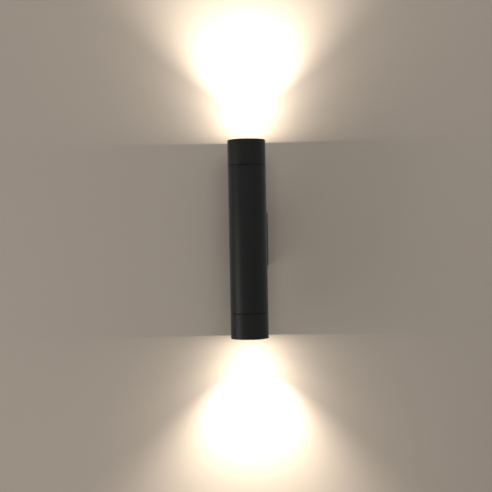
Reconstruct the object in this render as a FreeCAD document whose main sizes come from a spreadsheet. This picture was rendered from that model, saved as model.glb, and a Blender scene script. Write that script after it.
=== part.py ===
"""Tube wall light: a slim upright tube on a small wall box, with a lamp at each end.

Frame: X to the right, Y into the wall, Z up, in millimetres. The origin is the middle of the
wall plate's back face, which lies on the wall.

The tube's axis is parallel to Z, axis_to_wall in front of the wall. The pieces of each end are
drawn in an end frame on that axis, whose Z points out of the tube. The upper end's frame is
upright, and the lower end's is the same frame turned half round about Y. Screws, bushes and nuts
that cross the tube are drawn in a cross frame, whose Z points into the wall.
"""

import FreeCAD
import Part
import Sketcher
import math
import os
import re

Vector = FreeCAD.Vector

# Driving sizes. Each is a plain number in a cell of the spreadsheet, under this name.
SIZES = {
    # tube and the two end rings, which carry on its outline; the lamp sets the tube's diameter
    "tube_length": 225.0,
    "tube_wall": 3.0,
    "tube_to_wall": 36.0,
    "ring_length": 39.0,
    "socket_wall": 1.4,
    "spigot_wall": 1.9,
    "spigot_length": 10.0,
    "spigot_clearance": 0.2,
    "seam_gap": 0.4,
    "edge_chamfer": 0.6,
    "rim_chamfer": 0.5,
    "rim_wall": 2.3,
    # seal in the spigot's groove
    "seal_section": 0.9,
    "seal_below_shoulder": 3.2,
    "seal_play": 0.05,
    # front glass, its gasket and the ledge under them
    "glass_thickness": 3.5,
    "glass_recess": 0.3,
    "glass_clearance": 0.2,
    "glass_chamfer": 0.4,
    "gasket_thickness": 0.8,
    "gasket_clearance": 0.3,
    "ledge_thickness": 1.8,
    "ledge_width": 3.2,
    # reflector lamp with two headed pins
    "lamp_diameter": 50.0,
    "lamp_clearance": 0.5,
    "lamp_length": 47.0,
    "lamp_gap": 1.1,
    "lamp_bezel": 7.0,
    "lamp_base_diameter": 22.4,
    "lamp_base_height": 8.0,
    "lamp_shoulder_diameter": 31.0,
    "lamp_shoulder_height": 14.0,
    "lamp_bezel_width": 2.5,
    "lamp_lens_thickness": 3.0,
    "lamp_lens_crown": 1.0,
    "lamp_lens_bevel": 3.0,
    "lamp_wall": 3.0,
    "lamp_edge": 1.0,
    "lens_ledge": 3.0,
    "fin_count": 16,
    "fin_slot": 2.0,
    "fin_depth": 1.6,
    "fin_margin": 1.0,
    "pin_spacing": 10.0,
    "pin_length": 7.0,
    "pin_depth": 3.0,
    "pin_neck_diameter": 3.2,
    "pin_head_diameter": 5.0,
    "pin_head_height": 2.4,
    "pin_chamfer": 0.4,
    "pin_fit": 0.05,
    # lampholder with its bayonet slots
    "holder_diameter": 30.0,
    "holder_height": 21.0,
    "holder_chamfer": 1.0,
    "slot_plate": 4.0,
    "slot_clearance": 0.2,
    "head_clearance": 0.3,
    "chamber_clearance": 0.5,
    "lamp_twist": 40.0,
    "holder_screw_spacing": 21.6,
    "holder_screw_seat": 8.0,
    "contact_thickness": 0.5,
    "contact_width": 3.0,
    "contact_tail": 9.0,
    "contact_inset": 0.45,
    # bridge that carries both lampholders inside the tube
    "bridge_thickness": 1.5,
    "web_width": 18.0,
    "bridge_clearance": 0.1,
    "bend_radius": 1.5,
    "flange_diameter": 31.0,
    "flange_hole_diameter": 16.4,
    "web_hole_diameter": 15.0,
    # screws, by the radius of the shank and the head
    "fixing_spacing": 56.0,
    "fixing_screw_length": 16.0,
    "m4_diameter": 4.0,
    "m4_hole_diameter": 4.4,
    "m4_head_diameter": 7.6,
    "m4_head_height": 2.6,
    "m4_key": 2.5,
    "m4_washer_diameter": 8.8,
    "m4_washer_thickness": 0.8,
    "m4_nut_height": 3.5,
    "m4_nut_flange_diameter": 8.0,
    "m4_nut_neck_diameter": 6.0,
    "m4_nut_neck_play": 0.1,
    "m4_nut_key": 7.0,
    "m3_diameter": 3.0,
    "m3_hole_diameter": 3.4,
    "m3_head_diameter": 5.5,
    "m3_head_height": 2.0,
    "m3_key": 2.0,
    "m3_screw_length": 12.0,
    "m3_nut_height": 2.4,
    "m3_nut_key": 5.5,
    "key_depth": 1.3,
    "thread_play": 0.05,
    "cut_margin": 1.0,
    # wall box
    "box_overhang": 1.0,
    "box_height": 82.0,
    "box_depth": 49.0,
    "box_wall": 3.0,
    "box_round": 0.8,
    "saddle_gap": 0.1,
    "rib_width": 16.0,
    "rib_thickness": 4.9,
    "wall_gasket_thickness": 1.5,
    "wall_gasket_inset": 0.5,
    "lead_hole_diameter": 12.0,
    "bush_wall": 1.65,
    "bush_flange_diameter": 15.6,
    "bush_flange_thickness": 1.5,
    "bush_play": 0.15,
    # wall plate
    "plate_thickness": 2.0,
    "plate_clearance": 0.5,
    "plate_end_clearance": 2.0,
    "plate_round": 3.0,
    "lug_height": 16.0,
    "lug_reach": 18.0,
    "lug_relief": 1.5,
    "lug_relief_depth": 4.0,
    "side_screw_height": 12.0,
    "side_screw_length": 8.0,
    "side_head_depth": 1.8,
    "wall_slot_spacing": 50.0,
    "wall_slot_length": 9.0,
    "wall_slot_width": 4.6,
    "cable_hole_diameter": 16.0,
    "cable_bore_diameter": 10.0,
    "cable_flange_diameter": 20.0,
    "cable_flange_thickness": 1.5,
    "cable_bush_play": 0.1,
    "cable_bush_recess": 0.3,
    # terminal block, on the plate
    "block_left": 8.0,
    "block_margin": 4.0,
    "block_height": 14.0,
    "block_depth": 8.5,
    "pole_spacing": 8.0,
    "clamp_spacing": 7.0,
    "tower_diameter": 5.6,
    "tower_height": 3.5,
    "barrel_depth": 5.0,
    "barrel_diameter": 5.2,
    "barrel_bore_diameter": 3.8,
    "barrel_inset": 1.0,
    "block_play": 0.05,
    "clamp_screw_diameter": 2.5,
    "clamp_screw_slot": 0.5,
    "block_screw_head_diameter": 4.6,
    "block_screw_head_height": 1.8,
    # earth connections
    "earth_screw_height": 14.0,
    "earth_screw_length": 4.5,
    "earth_stud_left": 8.0,
    "earth_stud_height": 16.0,
    "earth_stud_length": 8.0,
    "earth_nut_height": 3.2,
    "earth_tag_diameter": 7.6,
    "earth_tag_thickness": 0.8,
    "earth_tag_neck": 1.2,
    "earth_crimp_wall": 0.35,
    "earth_crimp_length": 3.5,
    # insulated leads
    "lead_diameter": 1.5,
    "lead_pitch": 2.6,
    "lead_drop": 10.0,
    "lead_set_back": 3.0,
    "lead_web_gap": 4.0,
    "lead_rise": 1.0,
    "lead_box_gap": 1.0,
    "lead_sag": 2.0,
    "lead_entry": 2.5,
    "lead_play": 0.1,
    "earth_lead_diameter": 1.8,
    "earth_lead_margin": 2.0,
}

# Sizes that follow from the driving ones. Heights at an end are in the end frame.
DERIVED = {
    "ring_bore": "lamp_diameter / 2 + lamp_clearance",
    "spigot_radius": "ring_bore + spigot_wall",
    "socket_radius": "spigot_radius + spigot_clearance",
    "tube_radius": "socket_radius + socket_wall",
    "tube_bore": "tube_radius - tube_wall",
    "tube_end": "tube_length / 2",
    "socket_floor": "tube_end - spigot_length",
    "axis_to_wall": "tube_radius + tube_to_wall",
    # end ring
    "shoulder": "tube_end + seam_gap",
    "spigot_end": "shoulder - spigot_length",
    "rim": "tube_end + ring_length",
    "pocket_radius": "tube_radius - rim_wall",
    "ledge_bore": "pocket_radius - ledge_width",
    "glass_outside": "rim - glass_recess",
    "glass_inside": "glass_outside - glass_thickness",
    "ledge": "glass_inside - gasket_thickness",
    "ledge_under": "ledge - ledge_thickness",
    # seal and its groove
    "seal_height": "shoulder - seal_below_shoulder",
    "seal_groove": "spigot_radius - seal_section",
    "seal_half_groove": "seal_section / 2 + seal_play",
    "seal_radius": "seal_groove + seal_play + seal_section / 2",
    # lamp
    "lamp_face": "ledge_under - lamp_gap",
    "holder_face": "lamp_face - lamp_length",
    "lamp_base_top": "holder_face + lamp_base_height",
    "lamp_foot_radius": "lamp_base_diameter / 2 + lamp_edge",
    "lamp_shoulder": "holder_face + lamp_shoulder_height",
    "lamp_bezel_base": "lamp_face - lamp_bezel",
    "lens_recess": "lamp_face - lamp_lens_thickness",
    "lens_seat": "lamp_diameter / 2 - lamp_bezel_width",
    "pin_radius": "pin_spacing / 2",
    "pin_tip": "holder_face - pin_length",
    "pin_head_top": "pin_tip + pin_head_height",
    # lampholder
    "flange_face": "holder_face - holder_height",
    "slot_floor": "holder_face - slot_plate",
    "neck_half_slot": "pin_neck_diameter / 2 + slot_clearance",
    "head_gate": "pin_head_diameter / 2 + head_clearance",
    "head_half_slot": "pin_head_diameter / 2 + chamber_clearance",
    "screw_seat": "flange_face + holder_screw_seat",
    "contact_top": "pin_tip - head_clearance",
    "contact_outer": "pin_radius + head_half_slot - contact_inset",
    # bridge
    "flange_inside": "flange_face - bridge_thickness",
    "web_outside": "sqrt(tube_bore ^ 2 - web_width ^ 2 / 4) - bridge_clearance",
    "web_inside": "web_outside - bridge_thickness",
    # wall box, in the fixture's frame
    "box_front": "-box_depth",
    "box_back": "-wall_gasket_thickness",
    "box_half": "tube_radius + box_overhang",
    "cavity_half": "box_half - box_wall",
    "cavity_front": "box_front + box_wall",
    "cavity_height": "box_height - 2 * box_wall",
    "saddle_radius": "tube_radius + saddle_gap",
    "saddle_back": "saddle_radius + box_wall",
    "saddle_half": "sqrt(saddle_radius ^ 2 - (axis_to_wall - box_depth) ^ 2)",
    "cavity_saddle_half": "sqrt(saddle_back ^ 2 - (axis_to_wall - box_depth + box_wall) ^ 2)",
    "rib_half": "rib_width / 2",
    "rib_foot": "sqrt(saddle_back ^ 2 - rib_half ^ 2) - axis_to_wall",
    "rib_seat": "saddle_radius + rib_thickness",
    "rib_face": "rib_seat - axis_to_wall",
    "side_head_radius": "m4_diameter / 2 + side_head_depth",
    "lead_bore_radius": "lead_hole_diameter / 2 - bush_play - bush_wall",
    # wall plate
    "plate_face": "-plate_thickness",
    "plate_half": "cavity_half - plate_clearance",
    "plate_end": "cavity_height / 2 - plate_end_clearance",
    "lug_inside": "plate_half - plate_thickness",
    "side_screw_y": "-side_screw_height",
    # terminal block
    "first_pole": "block_left + pole_spacing / 2",
    "block_top": "block_margin + block_height - plate_end",
    "block_middle": "block_top - block_height / 2",
    "block_front": "plate_face - block_depth",
    "tower_front": "block_front - tower_height",
    "barrel_y": "plate_face - barrel_depth",
}

NUMBER_NAME = re.compile(r"[a-z][a-z0-9_]*")
UPRIGHT = FreeCAD.Rotation()
HALF_TURN = FreeCAD.Rotation(Vector(0, 1, 0), 180)
INTO_WALL = FreeCAD.Rotation(Vector(1, 0, 0), -90)
TO_THE_SIDE = FreeCAD.Rotation(Vector(0, 1, 0), 90)
ENDS = {"upper": UPRIGHT, "lower": HALF_TURN}
ON_AXIS = ("0", "-axis_to_wall", "0")
AT_WALL = ("0", "0", "0")
COSINE_30 = math.cos(math.radians(30))

doc = FreeCAD.newDocument("TubeWallLight")
pieces = []


# ---------------------------------------------------------------- sizes


def fill_sheet():
    """Write the driving sizes into the spreadsheet, one cell and one alias each."""
    sheet = doc.addObject("Spreadsheet::Sheet", "Sizes")
    for row, (name, number) in enumerate(SIZES.items(), start=1):
        sheet.set(f"A{row}", str(number))
        sheet.setAlias(f"A{row}", name)
    doc.recompute()
    return sheet


def bound(formula):
    """The formula with derived sizes written out and driving sizes named by their cells."""

    def swap(match):
        word = match.group()
        if word in SIZES:
            return "Sizes." + word
        if word in DERIVED:
            return "(" + bound(DERIVED[word]) + ")"
        return word

    return NUMBER_NAME.sub(swap, formula)


def value(formula):
    """The number that a formula gives now."""
    return float(sizes.evalExpression(bound(formula)))


def bind(thing, path, formula):
    """Tie a property of a document object to the sheet."""
    if formula != "0":
        thing.setExpression(path, bound(formula))


# ---------------------------------------------------------------- drawing helpers


def new_body(label, base, turn):
    """An empty body at a place that follows the sheet."""
    body = doc.addObject("PartDesign::Body", label)
    body.Label = label
    body.Placement = FreeCAD.Placement(Vector(0, 0, 0), turn)
    for axis, formula in zip("xyz", base):
        bind(body, f"Placement.Base.{axis}", formula)
    pieces.append(body)
    return body


def end_body(end, name):
    """A body in the frame of the upper or the lower end."""
    return new_body(f"{end}_{name}", ON_AXIS, ENDS[end])


def origin_part(body, role):
    """One of the body's own origin planes or axes, such as XY_Plane or Z_Axis."""
    return next(part for part in body.Origin.OriginFeatures if part.Role == role)


def new_sketch(body, plane, name, right="0", up="0", out="0"):
    """A sketch on an origin plane, moved in the plane and along its normal."""
    sketch = body.newObject("Sketcher::SketchObject", name)
    sketch.AttachmentSupport = [(origin_part(body, plane + "_Plane"), "")]
    sketch.MapMode = "FlatFace"
    for axis, formula in zip("xyz", (right, up, out)):
        bind(sketch, f"AttachmentOffset.Base.{axis}", formula)
    return sketch


def hold(sketch, part, position, x, y):
    """Hold a sketch point at two distances from the sketch's origin."""
    for kind, axis, formula in (("DistanceX", -2, x), ("DistanceY", -1, y)):
        if formula == "0":
            sketch.addConstraint(Sketcher.Constraint("PointOnObject", part, position, axis))
        else:
            rule = Sketcher.Constraint(kind, -1, 1, part, position, value(formula))
            number = sketch.addConstraint(rule)
            bind(sketch, f"Constraints[{number}]", formula)


def hold_radius(sketch, part, formula):
    """Hold the radius of a circle or an arc."""
    number = sketch.addConstraint(Sketcher.Constraint("Radius", part, value(formula)))
    bind(sketch, f"Constraints[{number}]", formula)


def short_arc(start, end, radius):
    """The shorter arc that turns left from start to end."""
    chord = end - start
    left = Vector(-chord.y, chord.x, 0).normalize()
    centre = start + chord / 2 + left * math.sqrt(radius**2 - chord.Length**2 / 4)
    angles = [math.atan2(p.y - centre.y, p.x - centre.x) for p in (start, end)]
    return Part.ArcOfCircle(Part.Circle(centre, Vector(0, 0, 1), radius), *angles)


def outline(sketch, corners, arcs=None):
    """A closed outline through corners, each a pair of formulas. A side is straight, or an arc
    that turns left with the radius that arcs gives for the corner that it leaves."""
    arcs = arcs or {}
    points = [Vector(value(x), value(y), 0) for x, y in corners]
    sides = []
    for i, (start, end) in enumerate(zip(points, points[1:] + points[:1])):
        if i in arcs:
            side = short_arc(start, end, value(arcs[i]))
        else:
            side = Part.LineSegment(start, end)
        sides.append(sketch.addGeometry(side, False))
    for side, after in zip(sides, sides[1:] + sides[:1]):
        sketch.addConstraint(Sketcher.Constraint("Coincident", side, 2, after, 1))
    for side, (x, y) in zip(sides, corners):
        hold(sketch, side, 1, x, y)
    for i, radius in arcs.items():
        hold_radius(sketch, sides[i], radius)


def circle(sketch, x, y, radius):
    """A full circle."""
    shape = Part.Circle(Vector(value(x), value(y), 0), Vector(0, 0, 1), value(radius))
    part = sketch.addGeometry(shape, False)
    hold(sketch, part, 3, x, y)
    hold_radius(sketch, part, radius)


def rectangle(sketch, left, low, right, high):
    """An upright rectangle."""
    outline(sketch, [(left, low), (right, low), (right, high), (left, high)])


def hexagon(sketch, x, y, key):
    """A hexagon with two flats upright, key across the flats."""
    flat = f"({key}) / 2"
    half_side = f"({key}) / 2 * {math.tan(math.radians(30)):.6f}"
    tip = f"({key}) / 2 / {COSINE_30:.6f}"
    outline(
        sketch,
        [
            (f"{x} + {flat}", f"{y} - {half_side}"),
            (f"{x} + {flat}", f"{y} + {half_side}"),
            (x, f"{y} + {tip}"),
            (f"{x} - {flat}", f"{y} + {half_side}"),
            (f"{x} - {flat}", f"{y} - {half_side}"),
            (x, f"{y} - {tip}"),
        ],
    )


# ---------------------------------------------------------------- features


def add(body, kind, name, sketch):
    """A feature that uses a sketch, as the body's new tip."""
    feature = body.newObject("PartDesign::" + kind, name)
    feature.Profile = sketch
    return feature


def extrude(body, kind, name, sketch, length, both_ways=False, backwards=False):
    """A pad or pocket of a length, or through everything where length is None."""
    feature = add(body, kind, name, sketch)
    if length is None:
        feature.Type = "ThroughAll"
    else:
        bind(feature, "Length", length)
    feature.SideType = "Symmetric" if both_ways else "One side"
    feature.Reversed = backwards
    doc.recompute()
    return feature


def turn(body, kind, name, sketch, axis="V_Axis", angle=None, backwards=False):
    """A revolution or groove about one of the sketch's own axes."""
    feature = add(body, kind, name, sketch)
    feature.ReferenceAxis = (sketch, [axis])
    if angle is None:
        feature.Angle = 360
    else:
        bind(feature, "Angle", angle)
    feature.Reversed = backwards
    doc.recompute()
    return feature


def mirror(body, name, originals, plane):
    """The same features once more, on the other side of an origin plane."""
    feature = body.newObject("PartDesign::Mirrored", name)
    feature.Originals = originals
    feature.MirrorPlane = (origin_part(body, plane + "_Plane"), [""])
    body.Tip = feature
    doc.recompute()
    return feature


def mirror_whole(body, name, plane):
    """The whole body once more, on the other side of an origin plane."""
    feature = body.newObject("PartDesign::Mirrored", name)
    feature.TransformMode = "Whole shape"
    feature.MirrorPlane = (origin_part(body, plane + "_Plane"), [""])
    body.Tip = feature
    doc.recompute()
    return feature


def ring_pattern(body, name, originals, count):
    """The features repeated evenly round the body's Z axis."""
    feature = body.newObject("PartDesign::PolarPattern", name)
    feature.Originals = originals
    feature.Axis = (origin_part(body, "Z_Axis"), [""])
    feature.Angle = 360
    bind(feature, "Occurrences", count)
    body.Tip = feature
    doc.recompute()
    return feature


def round_edges(body, name, base, radius, wanted):
    """A fillet on the edges whose middle and direction the test wanted accepts."""
    edges = []
    for number, edge in enumerate(base.Shape.Edges, start=1):
        if len(edge.Vertexes) < 2:
            continue
        run = edge.Vertexes[1].Point - edge.Vertexes[0].Point
        if isinstance(edge.Curve, Part.Line) and wanted(edge.CenterOfMass, run.normalize()):
            edges.append(f"Edge{number}")
    feature = body.newObject("PartDesign::Fillet", name)
    feature.Base = (base, edges)
    bind(feature, "Radius", radius)
    doc.recompute()
    return feature


def near(a, b):
    """Whether two places or lengths are the same but for rounding."""
    return abs(a - b) < 1e-4


def turned(body, corners, arcs=None, right="0", out="0"):
    """A turned solid: corners are pairs of radius and height."""
    sketch = new_sketch(body, "XZ", "Profile", right=right, out=out)
    outline(sketch, corners, arcs)
    return turn(body, "Revolution", "Turned", sketch)


def key_socket(body, right, up, top, key):
    """A hexagonal socket sunk into a screw's head, whose top is at the height top."""
    sketch = new_sketch(body, "XY", "SocketSketch", out=top)
    hexagon(sketch, right, up, key)
    return extrude(body, "Pocket", "Socket", sketch, "key_depth")


# ---------------------------------------------------------------- tube and end rings


def body_tube():
    """Drawn tube with a socket turned in each end, and three holes in its back."""
    body = new_body("body_tube", ON_AXIS, UPRIGHT)
    turned(
        body,
        [
            ("tube_radius - edge_chamfer", "-tube_end"),
            ("tube_radius", "-tube_end + edge_chamfer"),
            ("tube_radius", "tube_end - edge_chamfer"),
            ("tube_radius - edge_chamfer", "tube_end"),
            ("socket_radius", "tube_end"),
            ("socket_radius", "socket_floor"),
            ("tube_bore", "socket_floor"),
            ("tube_bore", "-socket_floor"),
            ("socket_radius", "-socket_floor"),
            ("socket_radius", "-tube_end"),
        ],
    )
    sketch = new_sketch(body, "XZ", "BackHoles")
    circle(sketch, "0", "0", "lead_hole_diameter / 2")
    circle(sketch, "0", "fixing_spacing / 2", "m4_hole_diameter / 2")
    circle(sketch, "0", "-fixing_spacing / 2", "m4_hole_diameter / 2")
    extrude(body, "Pocket", "Holes", sketch, None)


def end_ring(end):
    """Screw-on ring: spigot with its seal's groove, collar, ledge and pocket for the glass."""
    body = end_body(end, "end_ring")
    turned(
        body,
        [
            ("ring_bore", "spigot_end"),
            ("spigot_radius - edge_chamfer", "spigot_end"),
            ("spigot_radius", "spigot_end + edge_chamfer"),
            ("spigot_radius", "seal_height - seal_half_groove"),
            ("seal_groove", "seal_height - seal_half_groove"),
            ("seal_groove", "seal_height + seal_half_groove"),
            ("spigot_radius", "seal_height + seal_half_groove"),
            ("spigot_radius", "shoulder"),
            ("tube_radius - edge_chamfer", "shoulder"),
            ("tube_radius", "shoulder + edge_chamfer"),
            ("tube_radius", "rim - rim_chamfer"),
            ("tube_radius - rim_chamfer", "rim"),
            ("pocket_radius", "rim"),
            ("pocket_radius", "ledge"),
            ("ledge_bore", "ledge"),
            ("ledge_bore", "ledge_under"),
            ("ring_bore", "ledge_under"),
        ],
    )


def ring_seal(end):
    """Round rubber ring in the spigot's groove."""
    body = end_body(end, "ring_seal")
    sketch = new_sketch(body, "XZ", "Section")
    circle(sketch, "seal_radius", "seal_height", "seal_section / 2")
    turn(body, "Revolution", "Seal", sketch)


def lens_glass(end):
    """Frosted glass disc, set a little below the rim."""
    body = end_body(end, "lens_glass")
    glass_radius = "pocket_radius - glass_clearance"
    turned(
        body,
        [
            ("0", "glass_inside"),
            (f"{glass_radius} - glass_chamfer", "glass_inside"),
            (glass_radius, "glass_inside + glass_chamfer"),
            (glass_radius, "glass_outside - glass_chamfer"),
            (f"{glass_radius} - glass_chamfer", "glass_outside"),
            ("0", "glass_outside"),
        ],
    )


def lens_gasket(end):
    """Flat gasket between the ledge and the glass."""
    body = end_body(end, "lens_gasket")
    turned(
        body,
        [
            ("ledge_bore + gasket_clearance", "ledge"),
            ("pocket_radius - gasket_clearance", "ledge"),
            ("pocket_radius - gasket_clearance", "glass_inside"),
            ("ledge_bore + gasket_clearance", "glass_inside"),
        ],
    )


# ---------------------------------------------------------------- lamps


def lamp_housing(end):
    """Hollow cone of the reflector lamp: a bezel with a ledge for the lens, and cooling slots."""
    body = end_body(end, "lamp_housing")
    turned(
        body,
        [
            ("0", "lamp_base_top"),
            ("lamp_foot_radius", "lamp_base_top"),
            ("lamp_shoulder_diameter / 2", "lamp_shoulder"),
            ("lamp_diameter / 2 - lamp_edge", "lamp_bezel_base"),
            ("lamp_diameter / 2", "lamp_bezel_base + lamp_edge"),
            ("lamp_diameter / 2", "lamp_face"),
            ("lens_seat", "lamp_face"),
            ("lens_seat", "lens_recess"),
            ("lens_seat - lens_ledge", "lens_recess"),
            ("lens_seat - lens_ledge", "lamp_bezel_base"),
            ("lamp_shoulder_diameter / 2 - lamp_wall", "lamp_shoulder"),
            ("lamp_foot_radius - lamp_wall", "lamp_base_top + lamp_wall"),
            ("0", "lamp_base_top + lamp_wall"),
        ],
    )
    sketch = new_sketch(body, "XZ", "SlotSide")
    outline(
        sketch,
        [
            ("lamp_shoulder_diameter / 2 - fin_depth", "lamp_shoulder + fin_margin"),
            ("lamp_diameter / 2 + cut_margin", "lamp_shoulder + fin_margin"),
            ("lamp_diameter / 2 + cut_margin", "lamp_bezel_base - fin_margin"),
            ("lamp_diameter / 2 - lamp_edge - fin_depth", "lamp_bezel_base - fin_margin"),
        ],
    )
    slot = extrude(body, "Pocket", "CoolingSlot", sketch, "fin_slot", both_ways=True)
    ring_pattern(body, "CoolingSlots", [slot], "fin_count")


def lamp_lens(end):
    """Clear lens of the lamp, slightly crowned, set in the bezel."""
    body = end_body(end, "lamp_lens")
    edge = "lens_seat - pin_fit"
    turned(
        body,
        [
            ("0", "lens_recess"),
            (edge, "lens_recess"),
            (edge, "lamp_face - lamp_lens_crown"),
            ("lens_seat - lamp_lens_bevel", "lamp_face"),
            ("0", "lamp_face"),
        ],
    )


def lamp_base(end):
    """Plastic foot of the lamp, with a hole for each pin."""
    body = end_body(end, "lamp_base")
    turned(
        body,
        [
            ("0", "holder_face"),
            ("lamp_base_diameter / 2 - lamp_edge", "holder_face"),
            ("lamp_base_diameter / 2", "holder_face + lamp_edge"),
            ("lamp_base_diameter / 2", "lamp_base_top"),
            ("0", "lamp_base_top"),
        ],
    )
    sketch = new_sketch(body, "XY", "PinHoles", out="holder_face")
    circle(sketch, "pin_radius", "0", "pin_neck_diameter / 2 + pin_fit")
    circle(sketch, "-pin_radius", "0", "pin_neck_diameter / 2 + pin_fit")
    extrude(body, "Pocket", "Holes", sketch, "pin_depth", backwards=True)


def lamp_pins(end):
    """Two headed contact pins, which turn in the holder's slots."""
    body = end_body(end, "lamp_pins")
    pin = turned(
        body,
        [
            ("0", "holder_face + pin_depth"),
            ("0", "pin_tip"),
            ("pin_head_diameter / 2 - pin_chamfer", "pin_tip"),
            ("pin_head_diameter / 2", "pin_tip + pin_chamfer"),
            ("pin_head_diameter / 2", "pin_head_top"),
            ("pin_neck_diameter / 2", "pin_head_top"),
            ("pin_neck_diameter / 2", "holder_face + pin_depth"),
        ],
        right="pin_radius",
    )
    mirror(body, "OtherPin", [pin], "YZ")


# ---------------------------------------------------------------- lampholders


def bayonet_slot(body, name, half_width, low, high, entry):
    """A pair of curved slots round the axis, from the locked pins to the place where they go in.
    Both ends are round, and the far end has the radius entry."""
    sketch = new_sketch(body, "XZ", name + "Section")
    rectangle(sketch, f"pin_radius - {half_width}", low, f"pin_radius + {half_width}", high)
    sweep = turn(body, "Groove", name + "Sweep", sketch, angle="lamp_twist")
    ends = new_sketch(body, "XY", name + "Ends", out=high)
    circle(ends, "pin_radius", "0", half_width)
    locked = extrude(body, "Pocket", name + "Locked", ends, f"{high} - ({low})")
    gate = new_sketch(body, "XY", name + "Gate", out=high)
    across = "pin_radius * cos(lamp_twist * 1deg)"
    along = "pin_radius * sin(lamp_twist * 1deg)"
    circle(gate, across, along, entry)
    unlocked = extrude(body, "Pocket", name + "Unlocked", gate, f"{high} - ({low})")
    ring_pattern(body, name + "Pair", [sweep, locked, unlocked], "2")


def lampholder(end):
    """Ceramic lampholder: keyhole slots in its face, head chambers behind them, open to the
    back, and two counterbored screw holes."""
    body = end_body(end, "lampholder")
    turned(
        body,
        [
            ("0", "flange_face"),
            ("holder_diameter / 2", "flange_face"),
            ("holder_diameter / 2", "holder_face - holder_chamfer"),
            ("holder_diameter / 2 - holder_chamfer", "holder_face"),
            ("0", "holder_face"),
        ],
    )
    bayonet_slot(body, "Neck", "neck_half_slot", "slot_floor", "holder_face", "head_gate")
    bayonet_slot(body, "Head", "head_half_slot", "flange_face", "slot_floor", "head_half_slot")
    holes = new_sketch(body, "XY", "ScrewHoles", out="holder_face")
    seats = new_sketch(body, "XY", "ScrewSeats", out="holder_face")
    for side in ("", "-"):
        middle = f"{side}holder_screw_spacing / 2"
        circle(holes, "0", middle, "m3_hole_diameter / 2")
        circle(seats, "0", middle, "m3_head_diameter / 2 + head_clearance")
    extrude(body, "Pocket", "Holes", holes, None)
    extrude(body, "Pocket", "Counterbores", seats, "holder_face - screw_seat")


def holder_contacts(end):
    """Two bent brass springs, one under each pin's head."""
    body = end_body(end, "holder_contacts")
    sketch = new_sketch(body, "XZ", "Strip")
    outline(
        sketch,
        [
            ("pin_radius - contact_width / 2", "contact_top - contact_thickness"),
            ("contact_outer - contact_thickness", "contact_top - contact_thickness"),
            ("contact_outer - contact_thickness", "contact_top - contact_tail"),
            ("contact_outer", "contact_top - contact_tail"),
            ("contact_outer", "contact_top"),
            ("pin_radius - contact_width / 2", "contact_top"),
        ],
    )
    strip = extrude(body, "Pad", "Contact", sketch, "contact_width", both_ways=True)
    ring_pattern(body, "Pair", [strip], "2")


# ---------------------------------------------------------------- bridge


def lamp_bridge():
    """Bent steel bracket: a web along the tube's back and a round flange under each holder."""
    body = new_body("lamp_bridge", ON_AXIS, UPRIGHT)
    sketch = new_sketch(body, "YZ", "Profile")
    outline(
        sketch,
        [
            ("web_outside", "-flange_face"),
            ("web_outside", "flange_face"),
            ("0", "flange_face"),
            ("0", "flange_inside"),
            ("web_inside", "flange_inside"),
            ("web_inside", "-flange_inside"),
            ("0", "-flange_inside"),
            ("0", "-flange_face"),
        ],
    )
    strip = extrude(body, "Pad", "Strip", sketch, "web_width", both_ways=True)
    outer_bend = [value("web_outside"), value("flange_face")]
    inner_bend = [value("web_inside"), value("flange_inside")]
    outer = round_edges(
        body,
        "OuterBends",
        strip,
        "bend_radius + bridge_thickness",
        lambda at, run: near(at.y, outer_bend[0]) and near(abs(at.z), outer_bend[1]),
    )
    round_edges(
        body,
        "InnerBends",
        outer,
        "bend_radius",
        lambda at, run: near(at.y, inner_bend[0]) and near(abs(at.z), inner_bend[1]),
    )
    disc = new_sketch(body, "XY", "Disc", out="flange_inside")
    circle(disc, "0", "0", "flange_diameter / 2")
    flange = extrude(body, "Pad", "Flange", disc, "bridge_thickness")
    mirror(body, "OtherFlange", [flange], "XY")
    holes = new_sketch(body, "XY", "FlangeHoles")
    circle(holes, "0", "0", "flange_hole_diameter / 2")
    for side in ("", "-"):
        circle(holes, "0", f"{side}holder_screw_spacing / 2", "m3_hole_diameter / 2")
    extrude(body, "Pocket", "HolderHoles", holes, None, both_ways=True)
    web = new_sketch(body, "XZ", "WebHoles")
    circle(web, "0", "0", "web_hole_diameter / 2")
    neck_hole = "m4_nut_neck_diameter / 2 + m4_nut_neck_play"
    for side in ("", "-"):
        circle(web, "0", f"{side}fixing_spacing / 2", neck_hole)
    extrude(body, "Pocket", "NutHoles", web, None)


def bridge_nuts():
    """Two press nuts in the bridge's web, for the screws that hold tube and bridge to the box."""
    body = new_body("bridge_nuts", ON_AXIS, INTO_WALL)
    bore = "m4_diameter / 2 + thread_play"
    neck = "m4_nut_neck_diameter / 2"
    nut = turned(
        body,
        [
            (bore, "web_inside - m4_nut_height"),
            ("m4_nut_flange_diameter / 2", "web_inside - m4_nut_height"),
            ("m4_nut_flange_diameter / 2", "web_inside"),
            (neck, "web_inside"),
            (neck, "web_outside - bridge_clearance"),
            (bore, "web_outside - bridge_clearance"),
        ],
        out="-fixing_spacing / 2",
    )
    mirror(body, "OtherNut", [nut], "XZ")


def holder_screws():
    """Four screws through the holders into nuts behind the flanges."""
    body = new_body("holder_screws", ON_AXIS, UPRIGHT)
    screw = turned(
        body,
        [
            ("0", "screw_seat - m3_screw_length"),
            ("m3_diameter / 2", "screw_seat - m3_screw_length"),
            ("m3_diameter / 2", "screw_seat"),
            ("m3_head_diameter / 2", "screw_seat"),
            ("m3_head_diameter / 2", "screw_seat + m3_head_height"),
            ("0", "screw_seat + m3_head_height"),
        ],
        out="-holder_screw_spacing / 2",
    )
    middle = "holder_screw_spacing / 2"
    socket = key_socket(body, "0", middle, "screw_seat + m3_head_height", "m3_key")
    mirror(body, "OtherScrew", [screw, socket], "XZ")
    mirror_whole(body, "LowerPair", "XY")


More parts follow.
